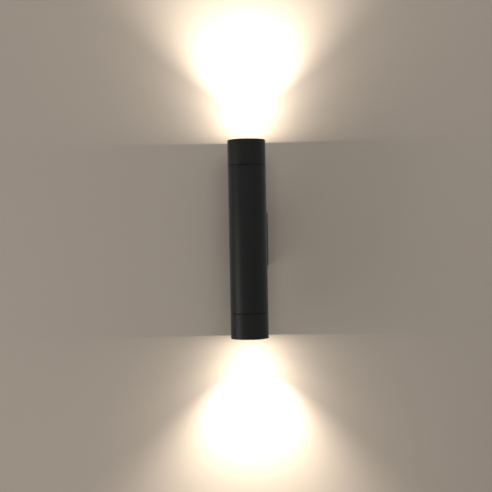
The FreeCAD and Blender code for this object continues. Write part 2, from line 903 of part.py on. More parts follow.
def holder_nuts():
    """Four hexagon nuts behind the flanges."""
    body = new_body("holder_nuts", ON_AXIS, UPRIGHT)
    sketch = new_sketch(body, "XY", "Nut", out="flange_inside")
    hexagon(sketch, "0", "holder_screw_spacing / 2", "m3_nut_key")
    circle(sketch, "0", "holder_screw_spacing / 2", "m3_diameter / 2 + thread_play")
    nut = extrude(body, "Pad", "Nut", sketch, "m3_nut_height", backwards=True)
    mirror(body, "OtherNut", [nut], "XZ")
    mirror_whole(body, "LowerPair", "XY")


# ---------------------------------------------------------------- wall box


def wall_box():
    """Cast box with a saddle for the tube, a seat rib behind it, and an open back."""
    body = new_body("wall_box", AT_WALL, UPRIGHT)
    sketch = new_sketch(body, "XY", "Outline")
    outline(
        sketch,
        [
            ("-box_half", "box_back"),
            ("-box_half", "box_front"),
            ("-saddle_half", "box_front"),
            ("saddle_half", "box_front"),
            ("box_half", "box_front"),
            ("box_half", "box_back"),
        ][::-1],
        {2: "saddle_radius"},
    )
    block = extrude(body, "Pad", "Block", sketch, "box_height", both_ways=True)
    half, front, top = value("box_half"), value("box_front"), value("box_height / 2")

    def outer_edge(at, run):
        on_side = near(abs(at.x), half)
        on_front = near(at.y, front)
        on_end = near(abs(at.z), top)
        upright = near(abs(run.z), 1)
        return (on_side and on_end) or (on_front and on_end) or (upright and on_side and on_front)

    round_edges(body, "OuterEdges", block, "box_round", outer_edge)
    cavity = new_sketch(body, "XY", "Cavity")
    outline(
        cavity,
        [
            ("cavity_half", "0"),
            ("-cavity_half", "0"),
            ("-cavity_half", "cavity_front"),
            ("-cavity_saddle_half", "cavity_front"),
            ("-rib_half", "rib_foot"),
            ("-rib_half", "rib_face"),
            ("rib_half", "rib_face"),
            ("rib_half", "rib_foot"),
            ("cavity_saddle_half", "cavity_front"),
            ("cavity_half", "cavity_front"),
        ][::-1],
        {1: "saddle_back", 5: "saddle_back"},
    )
    extrude(body, "Pocket", "Hollow", cavity, "cavity_height", both_ways=True)
    holes = new_sketch(body, "XZ", "SaddleHoles")
    circle(holes, "0", "0", "lead_hole_diameter / 2")
    circle(holes, "0", "fixing_spacing / 2", "m4_hole_diameter / 2")
    circle(holes, "0", "-fixing_spacing / 2", "m4_hole_diameter / 2")
    circle(holes, "0", "earth_screw_height", "m4_diameter / 2 + thread_play")
    extrude(body, "Pocket", "Holes", holes, None, backwards=True)
    side = new_sketch(body, "XY", "SideHole", up="side_screw_y")
    outline(
        side,
        [
            ("cavity_half - cut_margin", "0"),
            ("box_half + cut_margin", "0"),
            ("box_half + cut_margin", "side_head_radius + slot_clearance"),
            ("box_half", "side_head_radius + slot_clearance"),
            ("box_half - side_head_depth", "m4_hole_diameter / 2"),
            ("cavity_half - cut_margin", "m4_hole_diameter / 2"),
        ],
    )
    sunk = turn(body, "Groove", "SunkHole", side, axis="H_Axis")
    mirror(body, "OtherSunkHole", [sunk], "YZ")


def wall_gasket():
    """Foam frame between the box's rim and the wall."""
    body = new_body("wall_gasket", AT_WALL, UPRIGHT)
    sketch = new_sketch(body, "XZ", "Frame")
    half = "box_half - wall_gasket_inset"
    high = "box_height / 2 - wall_gasket_inset"
    rectangle(sketch, f"-({half})", f"-({high})", half, high)
    rectangle(sketch, "-cavity_half", "-cavity_height / 2", "cavity_half", "cavity_height / 2")
    extrude(body, "Pad", "Foam", sketch, "wall_gasket_thickness")


def lead_bush():
    """Rubber bush for the lamp leads, through the box's saddle and the tube's back."""
    body = new_body("lead_bush", ON_AXIS, INTO_WALL)
    neck = "lead_hole_diameter / 2 - bush_play"
    turned(
        body,
        [
            ("lead_bore_radius", "tube_bore"),
            (neck, "tube_bore"),
            (neck, "rib_seat"),
            ("bush_flange_diameter / 2", "rib_seat"),
            ("bush_flange_diameter / 2", "rib_seat + bush_flange_thickness"),
            ("lead_bore_radius", "rib_seat + bush_flange_thickness"),
        ],
    )


def tube_fixing_washers():
    """Two washers on the box's rib."""
    body = new_body("tube_fixing_washers", ON_AXIS, INTO_WALL)
    washer = turned(
        body,
        [
            ("m4_hole_diameter / 2", "rib_seat"),
            ("m4_washer_diameter / 2", "rib_seat"),
            ("m4_washer_diameter / 2", "rib_seat + m4_washer_thickness"),
            ("m4_hole_diameter / 2", "rib_seat + m4_washer_thickness"),
        ],
        out="-fixing_spacing / 2",
    )
    mirror(body, "OtherWasher", [washer], "XZ")


def tube_fixing_screws():
    """Two screws from inside the box through saddle and tube into the bridge's nuts."""
    body = new_body("tube_fixing_screws", ON_AXIS, INTO_WALL)
    seat = "rib_seat + m4_washer_thickness"
    screw = turned(
        body,
        [
            ("0", f"{seat} - fixing_screw_length"),
            ("m4_diameter / 2", f"{seat} - fixing_screw_length"),
            ("m4_diameter / 2", seat),
            ("m4_head_diameter / 2", seat),
            ("m4_head_diameter / 2", f"{seat} + m4_head_height"),
            ("0", f"{seat} + m4_head_height"),
        ],
        out="-fixing_spacing / 2",
    )
    socket = key_socket(body, "0", "fixing_spacing / 2", f"{seat} + m4_head_height", "m4_key")
    mirror(body, "OtherScrew", [screw, socket], "XZ")


def box_side_screws():
    """Two sunk screws through the box's sides into the plate's lugs."""
    body = new_body("box_side_screws", ("0", "side_screw_y", "0"), TO_THE_SIDE)
    screw = turned(
        body,
        [
            ("0", "box_half - side_screw_length"),
            ("m4_diameter / 2", "box_half - side_screw_length"),
            ("m4_diameter / 2", "box_half - side_head_depth"),
            ("side_head_radius", "box_half"),
            ("0", "box_half"),
        ],
    )
    socket = key_socket(body, "0", "0", "box_half", "m4_key")
    mirror(body, "OtherScrew", [screw, socket], "XY")


# ---------------------------------------------------------------- wall plate


def wall_plate():
    """Steel plate with wall slots, a cable hole, an earth stud and two bent lugs."""
    body = new_body("wall_plate", AT_WALL, UPRIGHT)
    sketch = new_sketch(body, "XZ", "Outline")
    rectangle(sketch, "-plate_half", "-plate_end", "plate_half", "plate_end")
    flat = extrude(body, "Pad", "Flat", sketch, "plate_thickness")
    round_edges(body, "Corners", flat, "plate_round", lambda at, run: near(abs(run.y), 1))
    lug_side = new_sketch(body, "XY", "LugSide")
    rectangle(lug_side, "lug_inside", "-lug_reach", "plate_half", "0")
    lug = extrude(body, "Pad", "Lug", lug_side, "lug_height", both_ways=True)
    lugs = mirror(body, "OtherLug", [lug], "YZ")
    tip, half_lug = value("-lug_reach"), value("lug_height / 2")
    round_edges(
        body,
        "LugCorners",
        lugs,
        "plate_round",
        lambda at, run: near(abs(run.x), 1) and near(at.y, tip) and near(abs(at.z), half_lug),
    )
    relief = new_sketch(body, "XZ", "Relief")
    for high in ("lug_height / 2", "-lug_height / 2 - lug_relief"):
        rectangle(
            relief,
            "plate_half - lug_relief_depth",
            high,
            "plate_half + cut_margin",
            f"{high} + lug_relief",
        )
    slits = extrude(body, "Pocket", "Slits", relief, None, backwards=True)
    cut = mirror(body, "OtherSlits", [slits], "YZ")
    half, inside = value("plate_half"), value("lug_inside")
    face = value("plate_face")
    outer = round_edges(
        body,
        "OuterBends",
        cut,
        "bend_radius + plate_thickness",
        lambda at, run: near(abs(run.z), 1) and near(abs(at.x), half) and near(at.y, 0)
        and near(at.z, 0),
    )
    round_edges(
        body,
        "InnerBends",
        outer,
        "bend_radius",
        lambda at, run: near(abs(run.z), 1) and near(abs(at.x), inside) and near(at.y, face),
    )
    holes = new_sketch(body, "XZ", "PlateHoles")
    circle(holes, "0", "0", "cable_hole_diameter / 2")
    circle(holes, "first_pole + pole_spacing / 2", "block_middle", "clamp_screw_diameter / 2")
    extrude(body, "Pocket", "Holes", holes, None, backwards=True)
    straight = "(wall_slot_length - wall_slot_width) / 2"
    middles = new_sketch(body, "XZ", "SlotMiddles")
    ends = new_sketch(body, "XZ", "SlotEnds")
    for side in ("", "-"):
        centre = f"{side}wall_slot_spacing / 2"
        rectangle(
            middles,
            "-wall_slot_width / 2",
            f"{centre} - {straight}",
            "wall_slot_width / 2",
            f"{centre} + {straight}",
        )
        circle(ends, "0", f"{centre} - {straight}", "wall_slot_width / 2")
    extrude(body, "Pocket", "SlotSides", middles, None, backwards=True)
    low_ends = extrude(body, "Pocket", "SlotLowEnds", ends, None, backwards=True)
    mirror(body, "SlotHighEnds", [low_ends], "XY")
    lug_hole = new_sketch(body, "YZ", "LugHole")
    circle(lug_hole, "side_screw_y", "0", "m4_diameter / 2 + thread_play")
    extrude(body, "Pocket", "LugHoles", lug_hole, None, both_ways=True)
    stud = new_sketch(body, "XZ", "Stud", out="plate_thickness")
    circle(stud, "-earth_stud_left", "earth_stud_height", "m4_diameter / 2")
    extrude(body, "Pad", "EarthStud", stud, "earth_stud_length")


def cable_bush():
    """Rubber bush in the plate's middle hole, where the house cable comes in."""
    body = new_body("cable_bush", AT_WALL, INTO_WALL)
    neck = "cable_hole_diameter / 2 - cable_bush_play"
    front = "plate_face - cable_flange_thickness"
    turned(
        body,
        [
            ("cable_bore_diameter / 2", front),
            ("cable_flange_diameter / 2", front),
            ("cable_flange_diameter / 2", "plate_face"),
            (neck, "plate_face"),
            (neck, "-cable_bush_recess"),
            ("cable_bore_diameter / 2", "-cable_bush_recess"),
        ],
    )


def earth_nut():
    """Hexagon nut on the plate's earth stud, over the lead's tag."""
    body = new_body("earth_nut", AT_WALL, UPRIGHT)
    sketch = new_sketch(body, "XZ", "Nut", out="plate_thickness + earth_tag_thickness")
    hexagon(sketch, "-earth_stud_left", "earth_stud_height", "m4_nut_key")
    circle(sketch, "-earth_stud_left", "earth_stud_height", "m4_diameter / 2 + thread_play")
    extrude(body, "Pad", "Nut", sketch, "earth_nut_height")


def earth_screw():
    """Screw in the box's rib that holds the earth lead's other tag."""
    body = new_body("earth_screw", ("0", "-axis_to_wall", "earth_screw_height"), INTO_WALL)
    seat = "rib_seat + earth_tag_thickness"
    turned(
        body,
        [
            ("0", f"{seat} - earth_screw_length"),
            ("m4_diameter / 2", f"{seat} - earth_screw_length"),
            ("m4_diameter / 2", seat),
            ("m4_head_diameter / 2", seat),
            ("m4_head_diameter / 2", f"{seat} + m4_head_height"),
            ("0", f"{seat} + m4_head_height"),
        ],
    )
    key_socket(body, "0", "0", f"{seat} + m4_head_height", "m4_key")


# ---------------------------------------------------------------- terminal block


def clamp_places():
    """Centres of the four clamp screws, as formulas of X and Z."""
    for pole in ("first_pole", "first_pole + pole_spacing"):
        for side in ("+", "-"):
            yield pole, f"block_middle {side} clamp_spacing / 2"


def terminal_block():
    """Two-pole block with a screw tower over each clamp and a fixing hole in the middle."""
    body = new_body("terminal_block", AT_WALL, UPRIGHT)
    base = new_sketch(body, "XZ", "Base", out="plate_thickness")
    right = "block_left + 2 * pole_spacing"
    rectangle(base, "block_left", "block_top - block_height", right, "block_top")
    extrude(body, "Pad", "Base", base, "block_depth")
    towers = new_sketch(body, "XZ", "Towers", out="-block_front")
    screws = new_sketch(body, "XZ", "ClampHoles", out="-tower_front")
    for x, z in clamp_places():
        circle(towers, x, z, "tower_diameter / 2")
        circle(screws, x, z, "clamp_screw_diameter / 2 + block_play")
    extrude(body, "Pad", "Towers", towers, "tower_height")
    extrude(body, "Pocket", "ClampHoles", screws, "barrel_y - tower_front")
    middle = new_sketch(body, "XZ", "FixingHole")
    x = "first_pole + pole_spacing / 2"
    circle(middle, x, "block_middle", "clamp_screw_diameter / 2 + slot_clearance")
    extrude(body, "Pocket", "FixingHole", middle, None, backwards=True)
    bores = new_sketch(body, "XY", "BarrelHoles", out="block_top")
    for x in ("first_pole", "first_pole + pole_spacing"):
        circle(bores, x, "barrel_y", "barrel_diameter / 2 + block_play")
    extrude(body, "Pocket", "BarrelHoles", bores, "block_height")


def terminal_barrels():
    """Brass barrel of each pole, with a tapped hole for each clamp screw."""
    body = new_body("terminal_barrels", AT_WALL, UPRIGHT)
    sketch = new_sketch(body, "XY", "Section", out="block_top - barrel_inset")
    for x in ("first_pole", "first_pole + pole_spacing"):
        circle(sketch, x, "barrel_y", "barrel_diameter / 2")
        circle(sketch, x, "barrel_y", "barrel_bore_diameter / 2")
    length = "block_height - 2 * barrel_inset"
    extrude(body, "Pad", "Barrels", sketch, length, backwards=True)
    holes = new_sketch(body, "XZ", "ClampHoles", out="-barrel_y")
    for x, z in clamp_places():
        circle(holes, x, z, "clamp_screw_diameter / 2 + block_play")
    extrude(body, "Pocket", "ClampHoles", holes, "barrel_diameter", backwards=True)


def terminal_clamp_screws():
    """Four slotted clamp screws, down to the wires in the barrels."""
    body = new_body("terminal_clamp_screws", AT_WALL, UPRIGHT)
    top = "tower_front + clamp_screw_slot"
    sketch = new_sketch(body, "XZ", "Screws", out=f"-({top})")
    for x, z in clamp_places():
        circle(sketch, x, z, "clamp_screw_diameter / 2")
    depth = f"barrel_y - lead_diameter / 2 - block_play - ({top})"
    extrude(body, "Pad", "Screws", sketch, depth, backwards=True)
    slots = new_sketch(body, "XZ", "Slots", out=f"-({top})")
    for x, z in clamp_places():
        rectangle(
            slots,
            f"{x} - clamp_screw_diameter",
            f"{z} - clamp_screw_slot / 2",
            f"{x} + clamp_screw_diameter",
            f"{z} + clamp_screw_slot / 2",
        )
    extrude(body, "Pocket", "Slots", slots, "2 * clamp_screw_slot")


def terminal_fixing_screw():
    """Screw that holds the block to the plate."""
    base = ("first_pole + pole_spacing / 2", "0", "block_middle")
    body = new_body("terminal_fixing_screw", base, INTO_WALL)
    turned(
        body,
        [
            ("0", "-cable_bush_recess"),
            ("0", "block_front - block_screw_head_height"),
            ("block_screw_head_diameter / 2", "block_front - block_screw_head_height"),
            ("block_screw_head_diameter / 2", "block_front"),
            ("clamp_screw_diameter / 2 - thread_play", "block_front"),
            ("clamp_screw_diameter / 2 - thread_play", "-cable_bush_recess"),
        ],
    )


# ---------------------------------------------------------------- leads

# Shares of a way: what a corner's arc takes of the shorter run beside it, and where a lamp lead's
# corners lie on the way to its next place.
ARC_SHARE = 0.45
GATHER_SHARE = 0.6
HALF_WAY = 0.5
LAST_BEND_SHARE = 0.78
WEB_SHARE = 0.6
FAN_SHARE = 0.35
DIVE_SHARE = 0.6


def rounded_path(points):
    """A wire of straight runs joined by tangent arcs, and the least radius of those arcs."""
    edges = []
    radii = []
    start = points[0]
    for before, corner, after in zip(points, points[1:], points[2:]):
        run_in = corner - before
        run_out = after - corner
        half_turn = run_in.getAngle(run_out) / 2
        cut = ARC_SHARE * min(run_in.Length, run_out.Length)
        way_in = run_in.normalize()
        way_out = run_out.normalize()
        radius = cut / math.tan(half_turn)
        inward = (way_out - way_in).normalize()
        middle = corner + inward * (math.hypot(radius, cut) - radius)
        arc_start = corner - way_in * cut
        arc_end = corner + way_out * cut
        edges.append(Part.LineSegment(start, arc_start).toShape())
        edges.append(Part.Arc(arc_start, middle, arc_end).toShape())
        radii.append(radius)
        start = arc_end
    edges.append(Part.LineSegment(start, points[-1]).toShape())
    return Part.Wire(edges), min(radii)


def lead_along(name, points, diameter):
    """Insulated lead along a route, checked against its section times its length."""
    path, least = rounded_path(points)
    ring = Part.Circle(points[0], points[1] - points[0], diameter / 2).toShape()
    solid = path.makePipeShell([Part.Wire([ring])], True, False)
    wanted = math.pi * diameter**2 / 4 * path.Length
    print(f"{name}: least radius {least:.1f}, length {path.Length:.0f}, "
          f"volume {solid.Volume / wanted:.4f} of the section's")
    if abs(solid.Volume / wanted - 1) > 0.01:
        raise ValueError(f"{name} is not swept whole")
    return solid


def add_shape(label, shape):
    """A sub-part whose shape is set here, in the fixture's frame."""
    piece = doc.addObject("Part::Feature", label)
    piece.Label = label
    piece.Shape = shape
    piece.Placement = FreeCAD.Placement()
    pieces.append(piece)


def between(start, end, share):
    """The number a share of the way from start to end."""
    return start + share * (end - start)


def lamp_lead_route(end, side):
    """Route of one lead, from its contact through the bush to its pole in the block.
    side is +1 or -1: the right or left one of the pair that leaves the fixture's holder."""
    up = 1 if end == "upper" else -1
    axis = -value("axis_to_wall")
    pin = value("pin_radius") * side
    beside = value("lead_pitch") / 2
    x = beside * side
    bush = beside * up
    pole = value("first_pole") + (value("pole_spacing") if side > 0 else 0)
    entry = pole + up * value("lead_diameter / 2 + lead_play")
    web = axis + value("web_inside")
    box = value("rib_face + bush_flange_thickness")
    barrel = value("barrel_y")
    top = value("block_top")
    solder = up * value("contact_top - contact_thickness")
    flange = up * value("flange_inside")
    below_flange = up * value("flange_inside - lead_drop")
    return [
        Vector(pin, axis, solder),
        Vector(pin, axis, below_flange),
        Vector(between(pin, x, GATHER_SHARE), axis, between(flange, 0, HALF_WAY)),
        Vector(x, axis + value("lead_set_back"), between(flange, 0, LAST_BEND_SHARE)),
        Vector(x, between(axis, web, WEB_SHARE), bush + up * value("lead_rise")),
        Vector(x, web + value("lead_web_gap"), bush),
        Vector(x, box + value("lead_box_gap"), bush),
        Vector(
            between(x, entry, FAN_SHARE),
            between(box, barrel, DIVE_SHARE),
            bush - value("lead_sag"),
        ),
        Vector(entry, barrel, between(bush, bush + top, HALF_WAY)),
        Vector(entry, barrel, top - value("lead_entry")),
    ]


def lamp_leads(end):
    """The two insulated leads of one lampholder."""
    solids = []
    for side in (1, -1):
        route = lamp_lead_route(end, side)
        solids.append(lead_along(f"{end} lead", route, value("lead_diameter")))
    add_shape(f"{end}_lamp_leads", Part.makeCompound(solids))


def ring_tag(seat, outward, wire_height):
    """Ring tag of the earth lead on a seat: an eye, a tongue to the left and a crimped sleeve.
    outward is +1 where the tag's top looks into the wall, and -1 where it looks away."""
    thickness = value("earth_tag_thickness")
    eye = value("earth_tag_diameter / 2")
    sleeve = wire_height - value("thread_play")
    crimp_start = eye + value("earth_tag_neck")
    crimp = value("earth_crimp_length")
    up = Vector(0, outward, 0)
    disc = Part.makeCylinder(eye, thickness, seat, up)
    low = seat.y if outward > 0 else seat.y - thickness
    corner = Vector(seat.x - crimp_start - crimp, low, seat.z - sleeve)
    tongue = Part.makeBox(crimp_start + crimp, thickness, 2 * sleeve, corner)
    wire_line = Vector(seat.x - crimp_start, seat.y + outward * wire_height, seat.z)
    barrel = Part.makeCylinder(sleeve, crimp, wire_line, Vector(-1, 0, 0))
    hole = Part.makeCylinder(value("m4_diameter / 2 + thread_play"), thickness, seat, up)
    return disc.multiFuse([tongue, barrel]).cut(hole)


def earth_lead():
    """Earth lead from the box's rib to the plate's stud, with a ring tag at each end."""
    half = value("earth_lead_diameter / 2")
    wire = half + value("earth_crimp_wall + thread_play")
    rib_eye = Vector(0, value("rib_face"), value("earth_screw_height"))
    plate_eye = Vector(-value("earth_stud_left"), value("plate_face"), value("earth_stud_height"))
    crimp = value("earth_tag_diameter / 2 + earth_tag_neck")
    reach = -value("cavity_half - earth_lead_margin")
    route = [
        Vector(rib_eye.x - crimp, rib_eye.y + wire, rib_eye.z),
        Vector(reach, rib_eye.y + wire, rib_eye.z),
        Vector(reach, plate_eye.y - wire, plate_eye.z),
        Vector(plate_eye.x - crimp, plate_eye.y - wire, plate_eye.z),
    ]
    lead = lead_along("earth lead", route, 2 * half)
    tags = [ring_tag(rib_eye, 1, wire), ring_tag(plate_eye, -1, wire)]
    add_shape("earth_lead", lead.multiFuse(tags))


# ---------------------------------------------------------------- building and writing


def build():
    """Make every sub-part."""
    body_tube()
    for end in ENDS:
        end_ring(end)
        ring_seal(end)
        lens_glass(end)
        lens_gasket(end)
        lamp_housing(end)
        lamp_lens(end)
        lamp_base(end)
        lamp_pins(end)
        lampholder(end)
        holder_contacts(end)
    lamp_bridge()
    bridge_nuts()
    holder_screws()
    holder_nuts()
    wall_box()
    wall_gasket()
    lead_bush()
    tube_fixing_washers()
    tube_fixing_screws()
    box_side_screws()
    wall_plate()
    cable_bush()
    earth_nut()
    earth_screw()
    terminal_block()
    terminal_barrels()
    terminal_clamp_screws()
    terminal_fixing_screw()
    for end in ENDS:
        lamp_leads(end)
    earth_lead()


def check():
    """Stop if any object failed, any shape is not sound, or a cut took nothing away."""
    doc.recompute()
    for thing in doc.Objects:
        if "Invalid" in thing.State or "Error" in thing.State:
            raise ValueError(f"{thing.Label} did not build: {thing.State}")
    for piece in pieces:
        if piece.Shape.isNull() or not piece.Shape.isValid():
            raise ValueError(f"{piece.Label} is not a sound shape")
        if piece.TypeId != "PartDesign::Body":
            continue
        before = None
        for feature in piece.Group:
            if not feature.isDerivedFrom("PartDesign::Feature"):
                continue
            volume = feature.Shape.Volume
            cuts = feature.TypeId in ("PartDesign::Pocket", "PartDesign::Groove")
            if cuts and volume > before - 1e-6:
                raise ValueError(f"{feature.Label} of {piece.Label} cuts nothing")
            before = volume


def write():
    """Write one file for each sub-part, named after it."""
    os.makedirs("parts", exist_ok=True)
    for piece in pieces:
        piece.Shape.exportStep(f"parts/{piece.Label}.step")
        box = piece.Shape.BoundBox
        print(f"{piece.Label}: {len(piece.Shape.Solids)} solids, {piece.Shape.Volume:.0f} mm3, "
              f"x {box.XMin:.1f} {box.XMax:.1f}, y {box.YMin:.1f} {box.YMax:.1f}, "
              f"z {box.ZMin:.1f} {box.ZMax:.1f}")


sizes = fill_sheet()
build()
check()
write()
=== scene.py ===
"""Finishes, fine pieces, light and stage for a tube wall light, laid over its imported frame.

Everything is in metres. X runs to the right, Y into the wall and Z up, and the wall's face is at
Y = 0. The pieces of each end are drawn in an end frame on the tube's axis, whose Z points out of
the tube: upright at the upper end, and turned half round about Y at the lower end.
"""

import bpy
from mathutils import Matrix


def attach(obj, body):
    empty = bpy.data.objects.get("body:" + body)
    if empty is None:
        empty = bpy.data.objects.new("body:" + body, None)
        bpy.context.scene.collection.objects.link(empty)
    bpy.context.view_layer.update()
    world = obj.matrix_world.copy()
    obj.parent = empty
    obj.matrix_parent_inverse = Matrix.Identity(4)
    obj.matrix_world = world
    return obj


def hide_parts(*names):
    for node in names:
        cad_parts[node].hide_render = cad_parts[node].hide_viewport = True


bl_info = {
    "name": "Tube Wall Light",
    "version": (1, 0, 0),
    "blender": (4, 5, 0),
    "location": "3D View > Sidebar > Wall Light",
    "description": "Builds the looks of a black tube wall light that shines up and down a wall",
    "category": "Object",
}

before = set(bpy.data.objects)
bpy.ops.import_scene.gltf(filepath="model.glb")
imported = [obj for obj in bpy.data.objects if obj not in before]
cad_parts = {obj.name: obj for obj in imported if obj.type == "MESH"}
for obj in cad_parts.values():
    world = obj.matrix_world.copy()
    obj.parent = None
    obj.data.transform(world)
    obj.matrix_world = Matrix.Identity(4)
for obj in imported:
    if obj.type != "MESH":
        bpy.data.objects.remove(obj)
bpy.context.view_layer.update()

import math

import bmesh
import bpy
import numpy as np
from bpy.props import FloatProperty, FloatVectorProperty, IntProperty, PointerProperty
from mathutils import Matrix, Vector

MM = 0.001
AXIS_Y = -65 * MM
END_TURNS = {
    "upper": Matrix.Identity(4),
    "lower": Matrix.Rotation(math.pi, 4, "Y"),
}
ON_AXIS = Matrix.Translation((0, AXIS_Y, 0))
SHARP_ANGLE = math.radians(35)

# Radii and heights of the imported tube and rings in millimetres, with heights counted from the
# tube's middle along an end frame's Z
OUTER_R = 29.0
EDGE_CUT = 0.6
TUBE_BORE_R = 26.0
TUBE_END = 112.5
SOCKET_R = 27.6
SOCKET_FLOOR = 102.5
SPIGOT_BORE_R = 25.5
SPIGOT_R = 27.4
SPIGOT_END = 102.9
GROOVE_R = 26.5
GROOVE_LOW, GROOVE_HIGH = 109.2, 110.2
RING_LOW = 112.9
RIM_END = 151.5
RIM_CUT = 0.5
POCKET_R = 26.7
LEDGE_R = 23.5
LEDGE_LOW, LEDGE_HIGH = 145.1, 146.9

# The photo's width and the camera's focal length, both in the photo's pixels
PICTURE_WIDTH = 492
FOCAL_LENGTH = 1016
STUDIO_WHITE = (1.0, 0.985, 0.96)


# -------- settings


def length(name, description, default):
    """A length property in metres, shown to a hundredth of a millimetre."""
    return FloatProperty(
        name=name,
        description=description,
        default=default,
        min=0.0,
        unit="LENGTH",
        subtype="DISTANCE",
        precision=5,
    )


def colour(name, description, default):
    """A colour property without transparency."""
    return FloatVectorProperty(
        name=name,
        description=description,
        default=default,
        size=3,
        min=0.0,
        max=1.0,
        subtype="COLOR",
    )


def share(name, description, default, top=1.0):
    """A plain number from nought to top."""
    return FloatProperty(name=name, description=description, default=default, min=0.0, max=top)


class WALLLIGHT_PG_shell(bpy.types.PropertyGroup):
    """Sizes of the tube and of the rings that screw into it"""

    edge_round: length("Edge round", "Radius of the coated outer edges", 0.25 * MM)
    thread_pitch: length("Thread pitch", "Travel of an end ring in one turn", 1.5 * MM)
    thread_depth: length("Thread depth", "Depth of the thread cut into the spigot", 0.38 * MM)
    columns: IntProperty(
        name="Columns",
        description="Faces round the tube and its rings",
        default=256,
        min=48,
        max=512,
    )


class WALLLIGHT_PG_coat(bpy.types.PropertyGroup):
    """Colour and texture of the powder coat"""

    tone: colour("Tone", "Colour of the coat in its hollows", (0.0050, 0.0050, 0.0052))
    light_tone: colour("Light tone", "Colour of the coat's grains", (0.0105, 0.0105, 0.0103))
    gloss_low: share("Least roughness", "Roughness of the coat's smoothest spots", 0.37)
    gloss_high: share("Most roughness", "Roughness of the coat's dullest spots", 0.50)
    grain: length("Grain", "Width of one grain of the coat's texture", 0.45 * MM)
    peel: length("Peel", "Width of one dimple of the coat's orange peel", 2.1 * MM)
    relief: length("Relief", "Height of the coat's grains and dimples", 0.07 * MM)


class WALLLIGHT_PG_lamp(bpy.types.PropertyGroup):
    """Light of the two lamps and the pattern of their optics"""

    warmth: colour("Warmth", "Colour of the lamps' light", (1.0, 0.91, 0.79))
    # Strength of the frosted glass's painted glow, set as emission at its middle
    glass_painted_glow: share("Glass glow", "Glow of the frosted glass at its middle", 0.26, 20.0)
    optic_glow: share("Optic glow", "Glow of the optic's lenslets", 0.95, 50.0)
    beam_power: FloatProperty(
        name="Beam",
        description="Power of each beam on the wall",
        default=23.0,
        min=0.0,
        unit="POWER",
    )
    spill: share("Spill", "Wide light beside each beam, as a share of its power", 0.09)
    glow: share("Glow", "Light of the whole glass, as a share of the beam's power", 0.022)
    glare: share("Glare", "Light that skims the rim, as a share of the beam's power", 0.01)
    beam_angle: FloatProperty(
        name="Beam angle",
        description="Full angle of each beam",
        default=math.radians(100),
        min=math.radians(10),
        max=math.radians(170),
        subtype="ANGLE",
    )
    lenslet: length("Lenslet", "Spacing of the optic's lenslets", 3.4 * MM)
    lenslet_height: length("Lenslet height", "Height of a lenslet's dome", 0.42 * MM)


class WALLLIGHT_PG_stage(bpy.types.PropertyGroup):
    """Wall, floor, studio light and camera"""

    wall_tone: colour("Wall", "Colour of the wall", (0.30, 0.262, 0.225))
    floor_tone: colour("Floor", "Colour of the floor", (0.62, 0.61, 0.593))
    floor_height: FloatProperty(
        name="Floor height",
        description="Height of the floor below the light's middle",
        default=-1.25,
        unit="LENGTH",
    )
    surround: share("Surround", "Level of the soft light from all sides", 0.50, 4.0)
    key_power: FloatProperty(
        name="Key",
        description="Power of the tall soft light at the left",
        default=10.0,
        min=0.0,
        unit="POWER",
    )
    fill_power: FloatProperty(
        name="Fill",
        description="Power of the wide soft light above and behind the camera",
        default=27.0,
        min=0.0,
        unit="POWER",
    )
    rear_power: FloatProperty(
        name="Rear",
        description="Power of the soft light behind the wall plate",
        default=26.0,
        min=0.0,
        unit="POWER",
    )
    camera_distance: length("Camera distance", "From the camera to the tube's axis", 1.555)
    camera_side: FloatProperty(
        name="Camera side",
        description="Angle of the camera to the right of straight on",
        default=math.radians(2.0),
        subtype="ANGLE",
    )
    camera_roll: FloatProperty(
        name="Camera roll",
        description="Lean of the camera to the right",
        default=0.0188,
        subtype="ANGLE",
    )


class WALLLIGHT_PG_settings(bpy.types.PropertyGroup):
    """All settings of the wall light"""

    shell: PointerProperty(type=WALLLIGHT_PG_shell)
    coat: PointerProperty(type=WALLLIGHT_PG_coat)
    lamp: PointerProperty(type=WALLLIGHT_PG_lamp)
    stage: PointerProperty(type=WALLLIGHT_PG_stage)


# -------- profiles and surfaces


def rounded(corners, steps=5):
    """A closed profile whose corners are (radius, height, round), all in millimetres.

    A corner with a round is swapped for an arc of steps + 1 points that touches both sides. The
    arc is a quadratic curve: the corner is its control point, and it starts and ends a tangent
    length before and after it. Returns the radii and the heights in millimetres.
    """
    points = np.array([corner[:2] for corner in corners], float)
    rounds = np.array([corner[2] for corner in corners], float)
    before = np.roll(points, 1, axis=0) - points
    after = np.roll(points, -1, axis=0) - points
    way_in = before / np.linalg.norm(before, axis=1, keepdims=True)
    way_out = after / np.linalg.norm(after, axis=1, keepdims=True)
    half = np.arccos(np.clip((way_in * way_out).sum(axis=1), -1, 1)) / 2
    tangent = rounds / np.tan(half)
    share_along = np.linspace(0, 1, steps + 1)[None, :, None]
    starts = (points + way_in * tangent[:, None])[:, None, :]
    ends = (points + way_out * tangent[:, None])[:, None, :]
    middles = points[:, None, :]
    arcs = (
        (1 - share_along) ** 2 * starts
        + 2 * share_along * (1 - share_along) * middles
        + share_along**2 * ends
    )
    pieces = [arc if bend > 0 else arc[:1] for arc, bend in zip(arcs, rounds)]
    profile = np.concatenate(pieces)
    return profile[:, 0], profile[:, 1]


def with_rows(radii, heights, low, high, step):
    """The profile with evenly spaced rows put into its one side that spans from low to high.

    The side is the pair of neighbours whose heights enclose both limits and whose radii are the
    same. Its new points lie on the straight line between them.
    """
    following = np.roll(heights, -1)
    level = np.isclose(radii, np.roll(radii, -1))
    spans = level & (heights <= low) & (following >= high)
    start = int(np.flatnonzero(spans)[0])
    rows = np.arange(low, high, step)
    return (
        np.insert(radii, start + 1, np.full(rows.size, radii[start])),
        np.insert(heights, start + 1, rows),
    )


def turned_surface(radii, heights, angles):
    """Points (radius cos angle, radius sin angle, height), as an array of rows and columns."""
    return np.stack(
        np.broadcast_arrays(radii * np.cos(angles), radii * np.sin(angles), heights), axis=-1
    )


